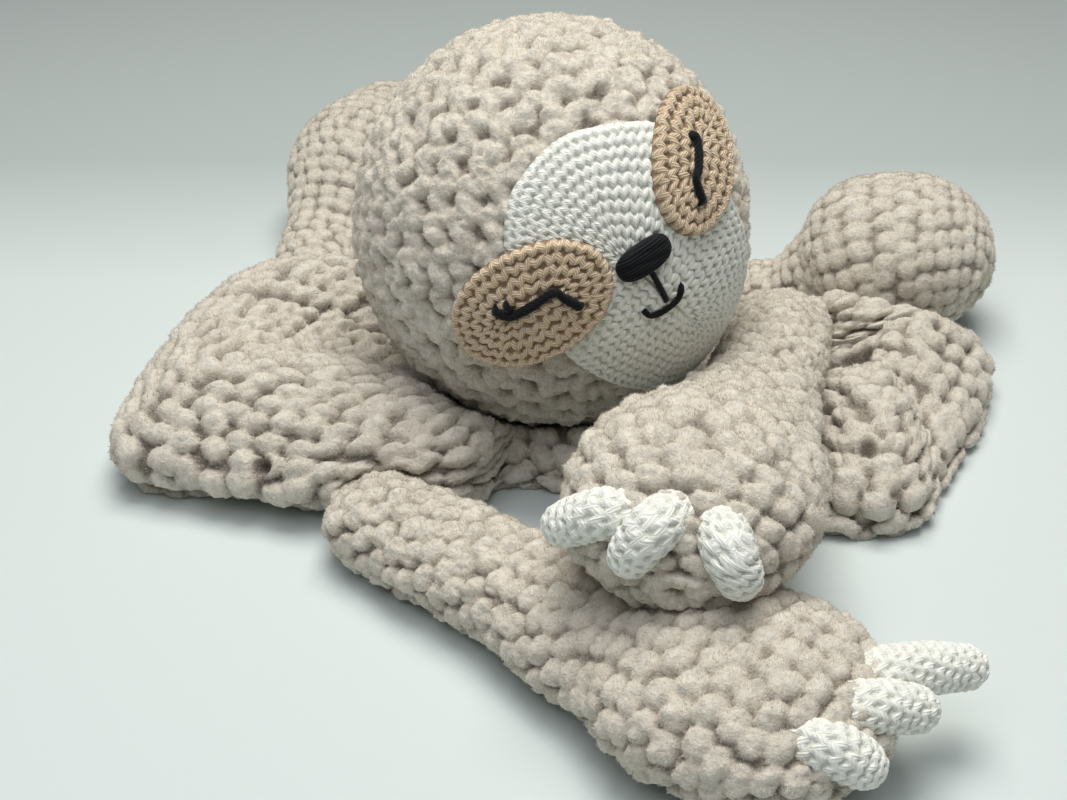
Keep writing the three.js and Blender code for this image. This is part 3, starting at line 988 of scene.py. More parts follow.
@dataclass
class Head:
    """The stuffed chenille ball, worked in rounds from the face to the back.

    Attributes:
        radius: Half its width.
        stretch: Its height as a share of its width.
        turn: How far the face looks to the right of straight ahead, in degrees.
        lift: How far it looks up.
        roll: How far the crown leans to the left.
        neck: The way from its centre to its neck.
        seam_radius: Half the width of the seam at its neck.
        first_round: Where the work starts, in degrees across and down the face.
        proud: How far the bulges stand over the solid's surface.
        cuts: How finely the cover is divided.
        filling_cuts: How finely the filling is divided.
        filling_inset: How far the filling lies inside the cover's wall.
        filling_lump: How far apart the filling's lumps are.
        nap: Its fibres.
    """

    radius: float = 55.0
    stretch: float = 1.035
    turn: float = 19.8
    lift: float = 18.1
    roll: float = 29.6
    neck: tuple[float, float, float] = (-0.25, 0.5, -0.83)
    seam_radius: float = 18.0
    first_round: tuple[float, float] = (1.2, 4.6)
    proud: float = 0.6
    cuts: int = 63
    filling_cuts: int = 11
    filling_inset: float = 1.5
    filling_lump: float = 9.0
    nap: Nap = Nap(dense=4.3)

    def __post_init__(self) -> None:
        """Works out the centre and the face's directions."""
        self.reach = self.radius * self.stretch + BALL_GAP
        self.centre = np.array([0, 0, CLOTH_THICKNESS + self.reach])
        tip = Matrix.Rotation(math.radians(self.turn), 3, "Z")
        tip = tip @ Matrix.Rotation(math.radians(-self.lift), 3, "X")
        tip = tip @ Matrix.Rotation(math.radians(-self.roll), 3, "Y")
        self.out = np.array(tip @ Vector((0, -1, 0)))
        self.across = np.array(tip @ Vector((1, 0, 0)))
        self.down = np.array(tip @ Vector((0, 0, -1)))
        self.neck_way = unit(np.array(self.neck))

    def way(self, across: np.ndarray, down: np.ndarray) -> np.ndarray:
        """Returns the direction at degrees across and down from the point between the eyes."""
        a, d = np.radians(across)[..., None], np.radians(down)[..., None]
        return (self.out * np.cos(d) + self.down * np.sin(d)) * np.cos(a) + self.across * np.sin(a)

    def point(self, way: np.ndarray, height: np.ndarray) -> np.ndarray:
        """Finds points over the ball's surface.

        Args:
            way: Their directions from its centre.
            height: Their heights over the surface.

        Returns:
            The points.
        """
        level = np.hypot(way[..., 0], way[..., 1]) / self.radius
        upright = way[..., 2] / (self.radius * self.stretch)
        return self.centre + way * (1 / np.hypot(level, upright) + height)[..., None]

    def build(self, shop: Workshop) -> None:
        """Makes the cover, its filling and the seam at its neck.

        Args:
            shop: The workshop.
        """
        self.build_cover(shop)
        self.build_filling(shop)
        self.build_seam(shop)

    def ball(self, name: str, cuts: int) -> tuple[bpy.types.Object, np.ndarray]:
        """Adds a ball of even faces, made from a cube.

        Args:
            name: The object's name.
            cuts: How often each edge of the cube is cut, before each half is cut again.

        Returns:
            The object and the direction of each of its points from the centre.
        """
        bpy.ops.object.select_all(action="DESELECT")
        bpy.ops.mesh.primitive_cube_add(size=2)
        piece = bpy.context.object
        piece.name = piece.data.name = name
        bpy.ops.object.mode_set(mode="EDIT")
        bpy.ops.mesh.select_all(action="SELECT")
        bpy.ops.mesh.subdivide(number_cuts=cuts)
        bpy.ops.mesh.subdivide(number_cuts=1)
        bpy.ops.object.mode_set(mode="OBJECT")
        places = read(piece.data.vertices, "co", 3).astype(float)
        bpy.ops.object.shade_smooth()
        return piece, unit(np.tan(places * math.pi / 4))

    def put(self, shop: Workshop, piece: bpy.types.Object, points: np.ndarray) -> None:
        """Moves a ball's points to their places in the frame.

        Args:
            shop: The workshop.
            piece: The ball.
            points: The new places of its points.
        """
        places = ((points + shop.shift) * MM).astype(np.float32)
        piece.data.vertices.foreach_set("co", places.ravel())
        piece.data.update()

    def build_cover(self, shop: Workshop) -> None:
        """Makes the ball's chenille cover and its fibres.

        Args:
            shop: The workshop.
        """
        piece, ways = self.ball("head_cover_chenille", self.cuts)
        pole = self.way(*map(np.array, self.first_round))
        side = unit(np.cross(UP, pole))
        from_pole = np.degrees(np.arccos(np.clip(ways @ pole, -1, 1)))
        turn = np.arctan2(ways @ np.cross(pole, side), ways @ side) / math.tau % 1
        stitch = CHENILLE_V
        count = math.ceil(180 / math.degrees(stitch.height / self.radius))
        middles = np.radians((np.arange(count) + 0.5) * 180 / count)
        lengths = math.tau * self.radius * np.sin(middles)
        rounds = Rounds(from_pole / 180 * count, lambda row: turn, lengths)
        relief = crochet(rounds, stitch, seed=11)
        points = self.point(ways, np.zeros(len(ways)))
        height = relief.height - stitch.depth + self.proud + pile(points, seed=21)
        self.put(shop, piece, self.point(ways, height))
        # The crest also sets the colour: painted shade in the hollows, painted light on the tops.
        store(piece, "crest", relief.height / stitch.depth)
        shop.hand_over(piece, "head", ["head_cover"], Slot.CHENILLE, Held.STUFFED, fill=0.9)
        self.nap.grow(shop, piece, "head", seed=51)

    def build_filling(self, shop: Workshop) -> None:
        """Makes the fibrefill ball inside the cover.

        Args:
            shop: The workshop.
        """
        piece, ways = self.ball("head_filling", self.filling_cuts)
        points = self.point(ways, np.zeros(len(ways)))
        height = noise(points, self.filling_lump, seed=31) - COVER_WALL - self.filling_inset
        self.put(shop, piece, self.point(ways, height))
        shop.hand_over(piece, "head", ["head_stuffing"], Slot.FIBREFILL, Held.STUFFED, fill=0.9)

    def build_seam(self, shop: Workshop) -> None:
        """Makes the strand that sews the head to the middle of the cloth.

        Args:
            shop: The workshop.
        """
        seat = np.linalg.norm(self.point(self.neck_way, np.array(0.0)) - self.centre) - SEAM_YARN
        depth = math.sqrt(seat**2 - self.seam_radius**2)
        centre = self.centre + self.neck_way * depth
        loop = strand_loop(centre, self.neck_way, self.seam_radius, 1.0)
        seam = shop.from_mesh("neck_seam_strand", *loop)
        shop.hand_over(seam, "head", ["neck_seam"], Slot.CHENILLE, Held.PLAIN)


def pile(points: np.ndarray, seed: int) -> np.ndarray:
    """Works out the unevenness of chenille's pile: soft tufts with finer ones on them.

    Args:
        points: Places on the fabric.
        seed: Chooses one of many patterns.

    Returns:
        How far each place stands out or lies in, in mm.
    """
    (tall, far), (short, near), (fine, nearest) = TUFTS
    tufts = tall * np.abs(noise(points, far, seed)) + short * np.abs(noise(points, near, seed + 1))
    return tufts - TUFT_MEAN + fine * noise(points, nearest, seed + 2)


def strand_loop(
    centre: np.ndarray, axis: np.ndarray, radius: float, flatness: float
) -> tuple[np.ndarray, list]:
    """A closed loop of twisted strand.

    Args:
        centre: The loop's middle.
        axis: The way it faces.
        radius: From its middle to the strand's.
        flatness: Its height as a share of its width.

    Returns:
        The points and the faces.
    """
    across = unit(np.cross(UP, axis))
    upward = np.cross(axis, across)
    columns, sides, plies, twist = 160, 12, 2, 18
    groove = 0.12  # between the plies, as a share of the strand's radius
    turn, side = np.meshgrid(
        np.linspace(0, math.tau, columns, endpoint=False),
        np.linspace(0, math.tau, sides, endpoint=False),
        indexing="ij",
    )
    thick = SEAM_YARN * (1 - groove + groove * np.cos(plies * side - twist * turn))
    out = across * np.cos(turn)[..., None] + upward * flatness * np.sin(turn)[..., None]
    places = centre + out * (radius + thick * np.cos(side))[..., None]
    places = places + axis * (thick * np.sin(side))[..., None]
    near, far = np.meshgrid(np.arange(columns), np.arange(sides), indexing="ij")
    onward, beside = (near + 1) % columns, (far + 1) % sides
    corners = (near, far), (near, beside), (onward, beside), (onward, far)
    faces = np.stack([a * sides + b for a, b in corners], axis=-1).reshape(-1, 4)
    return places.reshape(-1, 3), [tuple(face) for face in faces.tolist()]


@dataclass
class Patch:
    """A flat crocheted oval sewn on the face, in degrees from between the eyes.

    Attributes:
        across: Its middle's place to the right.
        down: Its middle's place below.
        wide: Half its width.
        tall: Half its height.
        tilt: How far it is turned.
        fullness: 2 for an ellipse, more to fill its corners.
        drawn: Rows of degrees round its middle and how far it is drawn out there.
    """

    across: float
    down: float
    wide: float
    tall: float
    tilt: float
    fullness: float
    drawn: tuple[tuple[float, float], ...] = ((0, 1),)

    def outline(self, turns: np.ndarray) -> np.ndarray:
        """Follows the edge.

        Args:
            turns: Turns round the middle, in radians.

        Returns:
            Degrees across and down from the middle.
        """
        tilt = math.radians(self.tilt)
        first = np.abs(np.cos(turns - tilt) / self.wide) ** self.fullness
        second = np.abs(np.sin(turns - tilt) / self.tall) ** self.fullness
        reach = (first + second) ** (-1 / self.fullness)
        turn, out = np.array(self.drawn, float).T
        reach = reach * np.interp(np.degrees(turns), turn, out, period=360)
        return np.stack([np.cos(turns) * reach, np.sin(turns) * reach], axis=-1)

    def edge(self, columns: int) -> np.ndarray:
        """Divides the edge evenly.

        Args:
            columns: Into how many parts.

        Returns:
            The places, in degrees across and down from the middle.
        """
        turns = np.linspace(0, math.tau, 8 * columns + 1)
        line = self.outline(turns)
        return at_lengths(line, np.linspace(0, lengths_along(line)[-1], columns, endpoint=False))

    def core(self, edge: np.ndarray) -> np.ndarray:
        """Draws the edge in to a line along the oval's longer axis, where the rounds start.

        Args:
            edge: Places on the edge.

        Returns:
            The place on the line that belongs to each.
        """
        tilt = math.radians(self.tilt)
        axes = np.array([[math.cos(tilt), math.sin(tilt)], [-math.sin(tilt), math.cos(tilt)]])
        longer = axes[0] if self.wide > self.tall else axes[1]
        spare = abs(self.wide - self.tall) / max(self.wide, self.tall)
        return spare * (edge @ longer)[:, None] * longer

    def spread(self, head: Head, flat: np.ndarray, height: np.ndarray) -> np.ndarray:
        """Lays places of the patch on the ball.

        Args:
            head: The head that carries it.
            flat: Degrees across and down from the patch's middle.
            height: Above the ball.

        Returns:
            The points.
        """
        middle = head.way(np.array(self.across), np.array(self.down))
        sideways = head.way(np.array(self.across + 90.0), np.array(self.down))
        downward = np.cross(sideways, middle)
        reach = np.radians(np.linalg.norm(flat, axis=-1, keepdims=True))
        heading = unit(flat[..., :1] * sideways + flat[..., 1:] * downward)
        return head.point(middle * np.cos(reach) + heading * np.sin(reach), height)


@dataclass
class CrochetedPatch:
    """Builds a patch: rounds of cotton from a short line in its middle out to its edge.

    Attributes:
        name: The piece's name.
        node: The CAD node that it stands for.
        patch: Its outline.
        low: The height of its underside over the ball.
        high: The height of its top.
        stitch: Its stitch.
        slot: Its finish.
        columns: Points in each ring.
        rings: Rings on its top.
        under_rings: Rings on its underside.
        start: Where the first ring lies, as a share of the way out.
        calm: Where the stitches reach their full height.
        rounding: The share of the way out over which the edge turns down.
        edge_drop: How far it turns down, as a share of the thickness.
        middle: How high the calm middle lies, as a share of the stitch's depth.
        sunk: How deep the hollows lie under the top, as a share of the stitch's depth.
        fills: How much of the rectangle round it an oval fills.
    """

    name: str
    node: str
    patch: Patch
    low: float
    high: float
    stitch: Stitch
    slot: Slot
    columns: int
    rings: int
    under_rings: int = 5
    start: float = 0.015
    calm: float = 0.06
    rounding: float = 0.1
    edge_drop: float = 0.75
    middle: float = 0.6
    sunk: float = 0.8
    fills: float = 0.85

    def build(self, shop: Workshop, head: Head, seed: int) -> None:
        """Makes the patch and sews it on.

        Args:
            shop: The workshop.
            head: The head that carries it.
            seed: Chooses how the stitches differ.
        """
        edge = self.patch.edge(self.columns)
        core = self.patch.core(edge)
        per_degree = math.radians(head.radius + self.high)
        shorter = min(self.patch.wide, self.patch.tall) * per_degree
        out = np.linspace(self.start, 1.0, self.rings)
        back = np.linspace(1.0, 2 * self.start, self.under_rings)
        share = np.concatenate([out, back])[:, None]
        flat = core * (1 - share)[..., None] + edge * share[..., None]
        on_top = np.concatenate([np.ones(self.rings), np.zeros(self.under_rings)])[:, None]
        turned_down = np.clip((share - (1 - self.rounding)) / self.rounding, 0, 1) ** 2
        top = self.low + (self.high - self.low) * (1 - self.edge_drop * turned_down)
        height = np.broadcast_to(np.where(on_top > 0, top, self.low), flat.shape[:2])
        count = max(2, round(shorter / self.stitch.height))
        turns = np.broadcast_to(np.linspace(0, 1, self.columns, endpoint=False), flat.shape[:2])
        lines = [core * (1 - s) + edge * s for s in (np.arange(count) + 0.5) / count]
        lengths = [lengths_along(np.vstack([line, line[:1]]))[-1] * per_degree for line in lines]
        row = np.broadcast_to(np.clip(share * count, 0, count - 1e-3), flat.shape[:2])
        relief = crochet(Rounds(row, lambda _: turns, np.array(lengths)), self.stitch, seed)
        even = smoothstep(share, self.start, self.calm)
        depth = self.stitch.depth
        lift = (relief.height * even + self.middle * depth * (1 - even) - self.sunk * depth) * on_top
        piece = shop.from_rings(self.name, self.patch.spread(head, flat, height + lift))
        # The crest sets the colour: painted shade between the stitches.
        store(piece, "crest", (relief.height / depth * on_top).ravel())
        store(piece, "strand", relief.strand.reshape(-1, 2))
        size = (2 * self.patch.wide * per_degree * MM, 2 * self.patch.tall * per_degree * MM)
        area = self.fills * size[0] * size[1]
        shop.hand_over(
            piece, "head", [self.node], self.slot, Held.SHEET, size=size, hold="stretched", area=area
        )


@dataclass
class Thread:
    """A line of embroidery through places on the face, its ends drawn down into the fabric.

    Attributes:
        name: The piece's name.
        places: Degrees across and down from between the eyes.
        height: The height of its middle over the ball.
        radius: Half its thickness.
        plies: How many plies it has.
        lay: The length along it of one turn of its plies.
        sink: How far its ends go down.
        sinking: The length over which they do.
        tip: The length over which an end gets thin.
        groove: How deep the grooves between plies are, as a share of its radius.
        uneven: How much its thickness varies, as a share of it.
        step: The distance between rings of points.
        sides: Points in each ring.
    """

    name: str
    places: list[list[float]]
    height: float
    radius: float = 1.0
    plies: int = 4
    lay: float = 5.5
    sink: float = 1.4
    sinking: float = 2.2
    tip: float = 0.9
    groove: float = 0.14
    uneven: float = 0.1
    step: float = 0.3
    sides: int = 24

    def build(self, shop: Workshop, head: Head) -> bpy.types.Object:
        """Makes the thread.

        Args:
            shop: The workshop.
            head: The head that carries it.

        Returns:
            The thread, without its finish.
        """
        places = np.array(self.places, float)
        stops = head.point(head.way(places[:, 0], places[:, 1]), np.full(len(places), self.height))
        line = spline(stops, np.linspace(0, len(places) - 1, 300))
        length = lengths_along(line)[-1]
        run = np.linspace(0, length, max(30, int(length / self.step)))
        line = at_lengths(line, run)
        outward = unit(line - head.centre)
        tangent = unit(np.gradient(line, axis=0))
        aside = unit(np.cross(outward, tangent))
        to_end = np.minimum(run, length - run)
        dip = self.sink * np.clip(1 - to_end / self.sinking, 0, 1) ** 2
        taper = np.sqrt(1 - np.clip(1 - to_end / self.tip, 0, 0.97) ** 2)
        side = np.linspace(0, math.tau, self.sides, endpoint=False)
        ridge = np.abs(np.cos(self.plies / 2 * (side - math.tau * run[:, None] / self.lay)))
        ply = 1 - self.groove + self.groove * ridge
        lumps = 1 + self.uneven * noise(line, 3.0, seed=5)
        thick = self.radius * taper[:, None] * ply * lumps[:, None]
        above = line - outward * dip[:, None]
        points = above[:, None] + aside[:, None] * (thick * np.cos(side))[..., None]
        points = points + np.cross(tangent, aside)[:, None] * (thick * np.sin(side))[..., None]
        piece = shop.from_rings(self.name, points)
        # The ply ridges set the colour: painted shade in the grooves between them.
        store(piece, "crest", ridge.ravel())
        along, around = np.broadcast_arrays(run[:, None], self.radius * side)
        store(piece, "strand", np.stack([along, around], axis=-1).reshape(-1, 2))
        return piece


PLATE_DRAWN = (
    (-176, 0.89), (-128, 0.93), (-110, 1.0), (-75, 1.01), (-64, 1.06), (-50, 1.16), (-30, 1.08),
    (0, 1.06), (30, 1.0), (50, 1.03), (87, 1.03), (105, 0.92), (118, 0.83), (147, 0.87), (167, 0.9),
)  # fmt: skip


@dataclass
class Face:
    """Everything that is sewn on the head: plate, eye patches, eyelids, nose and mouth.

    Attributes:
        plate: The face plate.
        eyes: The eye patches.
        nose: The nose's outline.
        eyelids: Places along the eyelids, in degrees across and down.
        lash: Places along the left eyelid's short second thread.
        smile: Places along the mouth.
        philtrum: Places along the line from the nose to the mouth.
        standoff: The height of the plate's underside over the ball.
        cotton: The plate's thickness.
        doubled: The eye patches' thickness.
        thread: The thickness of the thread.
        nose_height: How far the nose stands out.
        nose_columns: Points round the nose.
        nose_rings: Rings on its top.
        nose_under: Rings on its underside.
        satin: From one thread of the satin stitch to the next.
        groove: How deep the grooves between those threads are.
    """

    plate: Patch = field(default_factory=lambda: Patch(0.4, 17.5, 33, 48, -15, 2.6, PLATE_DRAWN))
    eyes: dict[str, Patch] = field(
        default_factory=lambda: {
            "left": Patch(-29.8, 0.2, 22.4, 15, 2, 2.1),
            "right": Patch(29.7, -3.8, 20.5, 13.6, -35, 2.1),
        }
    )
    nose: Patch = field(default_factory=lambda: Patch(0.8, 6.3, 8, 4.2, 5, 2.6))
    eyelids: dict[str, list[list[float]]] = field(
        default_factory=lambda: {
            "left": [[-37.2, -6.4], [-34.8, -1.7], [-28.6, -0.9], [-21.9, -0.7], [-20.8, 2.1], [-18.4, 7.1]],
            "right": [[29.7, -11.2], [30.5, -8.6], [29, -6], [25.1, -2], [23.2, -0.9], [20.9, 6.2]],
        }
    )
    lash: list[list[float]] = field(
        default_factory=lambda: [[-33.6, -6.2], [-33.4, -4.2], [-33.1, -1.6]]
    )
    smile: list[list[float]] = field(
        default_factory=lambda: [[-6.2, 18.1], [-5.1, 21.2], [-0.3, 22.8], [3.6, 22.4], [6.5, 19.6]]
    )
    philtrum: list[list[float]] = field(
        default_factory=lambda: [[0.6, 8.2], [0.5, 12], [0.45, 16], [0.4, 21.6]]
    )
    standoff: float = 0.5
    cotton: float = 1.8
    doubled: float = 2.4
    thread: float = 1.0
    nose_height: float = 3.0
    nose_columns: int = 240
    nose_rings: int = 40
    nose_under: int = 4
    satin: float = 0.75
    groove: float = 0.3

    def build(self, shop: Workshop, head: Head) -> None:
        """Makes all the pieces of the face.

        Args:
            shop: The workshop.
            head: The head that carries them.
        """
        plate_top = self.standoff + self.cotton
        patch_low = plate_top + GAP
        patch_top = patch_low + self.doubled
        CrochetedPatch(
            "face_plate_cotton",
            "face_plate",
            self.plate,
            self.standoff,
            plate_top,
            FINE_COTTON,
            Slot.WHITE_COTTON,
            columns=520,
            rings=92,
        ).build(shop, head, seed=41)
        for side, patch in self.eyes.items():
            CrochetedPatch(
                f"eye_patch_{side}_cotton",
                f"eye_patch_{side}",
                patch,
                patch_low,
                patch_top,
                DOUBLED_COTTON,
                Slot.TAN_COTTON,
                columns=360,
                rings=60,
            ).build(shop, head, seed=42)
            height = patch_top + self.thread * 0.6
            lid = Thread(f"eyelid_{side}_thread", self.eyelids[side], height, radius=1.25).build(shop, head)
            if side == "left":
                join(lid, Thread("lash", self.lash, height + 0.2, radius=0.9).build(shop, head))
            shop.hand_over(lid, "head", [f"eyelid_{side}"], Slot.BLACK_THREAD, Held.PLAIN)
        self.build_nose(shop, head, plate_top)
        self.build_mouth(shop, head, plate_top)

    def build_mouth(self, shop: Workshop, head: Head, plate_top: float) -> None:
        """Makes the smile and the line down to it, one piece of thread.

        Args:
            shop: The workshop.
            head: The head that carries it.
            plate_top: The height of the plate's top over the ball.
        """
        height = plate_top + 0.55 * self.thread
        smile = Thread("mouth_thread", self.smile, height, radius=0.85).build(shop, head)
        join(smile, Thread("mouth_line", self.philtrum, height + 0.1, radius=0.85).build(shop, head))
        shop.hand_over(smile, "head", ["mouth"], Slot.BLACK_THREAD, Held.PLAIN)

    def build_nose(self, shop: Workshop, head: Head, plate_top: float) -> None:
        """Makes the nose: satin stitches side by side along an oval pad.

        Args:
            shop: The workshop.
            head: The head that carries it.
            plate_top: The height of the plate's top over the ball.
        """
        out, back = np.linspace(0.01, 1, self.nose_rings), np.linspace(1, 0.1, self.nose_under)
        share = np.concatenate([out, back])[:, None]
        on_top = np.concatenate([np.ones(self.nose_rings), np.zeros(self.nose_under)])[:, None]
        flat = self.nose.edge(self.nose_columns) * share[..., None]
        tilt = math.radians(self.nose.tilt)
        per_degree = math.radians(head.radius)
        aside = (flat[..., 1] * math.cos(tilt) - flat[..., 0] * math.sin(tilt)) * per_degree
        along = (flat[..., 0] * math.cos(tilt) + flat[..., 1] * math.sin(tilt)) * per_degree
        threads = np.abs(np.cos(math.pi * aside / self.satin)) ** 0.7
        dome = np.sqrt(np.clip(1 - (share * 0.98) ** 4, 0, 1))
        height = plate_top + GAP + on_top * (self.nose_height * dome - self.groove * (1 - threads))
        piece = shop.from_rings("nose_satin_stitch", self.nose.spread(head, flat, height))
        # The satin threads' ridges set the colour: painted shade in the grooves between them.
        store(piece, "crest", (threads * on_top).ravel())
        store(piece, "strand", np.stack([0.1 * along, aside], axis=-1).reshape(-1, 2))
        shop.hand_over(piece, "head", ["nose"], Slot.BLACK_THREAD, Held.PLAIN)


# The limbs and claws


@dataclass
class Tube:
    """A plump form along a path, round at both ends.

    Attributes:
        path: Points of its middle, from its root to its tip.
        profile: Rows of share of its length, half width, half height.
    """

    path: Sequence[Sequence[float]]
    profile: Sequence[Sequence[float]]

    def sizes(self, share: np.ndarray) -> tuple[np.ndarray, np.ndarray]:
        """Reads the profile, easing from row to row.

        Args:
            share: Shares of the length.

        Returns:
            The half width and the half height at each.
        """
        rows = np.array(self.profile, float)
        index = np.clip(np.searchsorted(rows[:, 0], share) - 1, 0, len(rows) - 2)
        part = smoothstep(share, rows[index, 0], rows[index + 1, 0])
        both = rows[index, 1:] * (1 - part)[:, None] + rows[index + 1, 1:] * part[:, None]
        return both[:, 0], both[:, 1]

    def surface(
        self, spacing: float, columns: int, inset: float = 0.0, start: float = 0.0
    ) -> tuple[np.ndarray, np.ndarray, np.ndarray]:
        """Works out the surface, from the tip back to the root.

        Args:
            spacing: Distance between rings over the surface.
            columns: Points in each ring.
            inset: How far the whole surface is drawn in.
            start: How much of the root is left out.

        Returns:
            The surface, each ring's distance from the tip over the surface, and each ring's length.
        """
        line = curve_of(self.path)
        length = lengths_along(line)[-1]
        least = 0.02  # a share of its size, so that no ring is a point
        spread = (1 - np.cos(np.linspace(least, math.pi - least, 500))) / 2
        along = length - inset - spread * (length - 2 * inset - start)
        wide, tall = (half - inset for half in self.sizes(along / length))
        reach = np.minimum(np.minimum(along - inset, length - inset - along), wide)
        bulge = np.sqrt(np.maximum(1 - ((wide - reach) / wide) ** 2, least**2))
        girth = (wide + tall) / 2 * bulge
        travel = np.concatenate([[0], np.cumsum(np.hypot(np.diff(along), np.diff(girth)))])
        rings = max(12, int(travel[-1] / spacing))
        wanted = np.linspace(0, travel[-1], rings)
        along, wide, tall, bulge = (np.interp(wanted, travel, v) for v in (along, wide, tall, bulge))
        centre = at_lengths(line, along)
        after, before = np.minimum(along + 1, length), np.maximum(along - 1, 0)
        tangent = unit(at_lengths(line, after) - at_lengths(line, before))
        across = unit(np.cross(UP, tangent))
        upward = np.cross(tangent, across)
        angles = np.linspace(-0.5, 1.5, 721) * math.pi
        turns = np.empty((rings, columns))
        lengths = np.empty(rings)
        for ring in range(rings):
            oval = np.stack([wide[ring] * np.cos(angles), tall[ring] * np.sin(angles)], axis=-1) * bulge[ring]
            way_round = lengths_along(oval)
            lengths[ring] = way_round[-1]
            turns[ring] = np.interp(np.arange(columns) / columns * way_round[-1], way_round, angles)
        points = centre[:, None] + across[:, None] * (wide * bulge)[:, None, None] * np.cos(turns)[..., None]
        points = points + upward[:, None] * (tall * bulge)[:, None, None] * np.sin(turns)[..., None]
        return points, wanted, lengths

    def crocheted(
        self, stitch: Stitch, spacing: float, columns: int, seed: int, proud: float, start: float = 0.0
    ) -> tuple[np.ndarray, Relief]:
        """Works the surface in rounds from the tip.

        Args:
            stitch: The stitch.
            spacing: Distance between the rings of points.
            columns: Points in each ring.
            seed: Chooses how the stitches differ.
            proud: How far the bulges stand over the solid's surface.
            start: How much of the root is left out.

        Returns:
            The surface with its stitches, and the relief.
        """
        points, travel, girths = self.surface(spacing, columns, start=start)
        count = max(2, round(travel[-1] / stitch.height))
        rows = np.clip(travel / travel[-1] * count, 0, count - 1e-3)
        lengths = np.interp(np.arange(count) + 0.5, rows, girths)
        turn = np.broadcast_to(np.arange(columns) / columns, (len(travel), columns))
        row = np.broadcast_to(rows[:, None], turn.shape)
        relief = crochet(Rounds(row, lambda _: turn, lengths), stitch, seed)
        height = relief.height - stitch.depth + proud
        if stitch.depth > SMOOTH_DEPTH:
            height = height + pile(points, seed + 1)
        return on_floor(points + outward_of(points) * height[..., None]), relief


def pressed_out(points: np.ndarray, shop: Workshop, other: bpy.types.Object) -> np.ndarray:
    """Presses a soft surface out of another piece.

    Args:
        points: The surface's points.
        shop: The workshop.
        other: The piece that keeps its shape.

    Returns:
        The points, those that were inside now a gap away from the other's surface.
    """
    places = (points.reshape(-1, 3) + shop.shift) * MM
    box = np.array(other.bound_box)
    near = np.all((places > box.min(axis=0)) & (places < box.max(axis=0)), axis=1)
    for index in np.flatnonzero(near):
        found, closest, outward, _ = other.closest_point_on_mesh(Vector(places[index]))
        depth = (Vector(places[index]) - closest).dot(outward)
        if found and depth < GAP * MM:
            places[index] = closest + outward * GAP * MM
    return (places / MM - shop.shift).reshape(points.shape)


def on_floor(points: np.ndarray, low: float = 0.4, give: float = 2.0) -> np.ndarray:
    """Presses what would be below the floor flat on it.

    Args:
        points: Places of a soft piece.
        low: The height where the pressing starts.
        give: How softly it starts, in mm.

    Returns:
        The places, none below the floor.
    """
    height = points[..., 2]
    lifted = points.copy()
    pressed = low * np.exp(np.minimum(height - low, 0) / give)
    lifted[..., 2] = np.where(height < low, pressed, height)
    return lifted


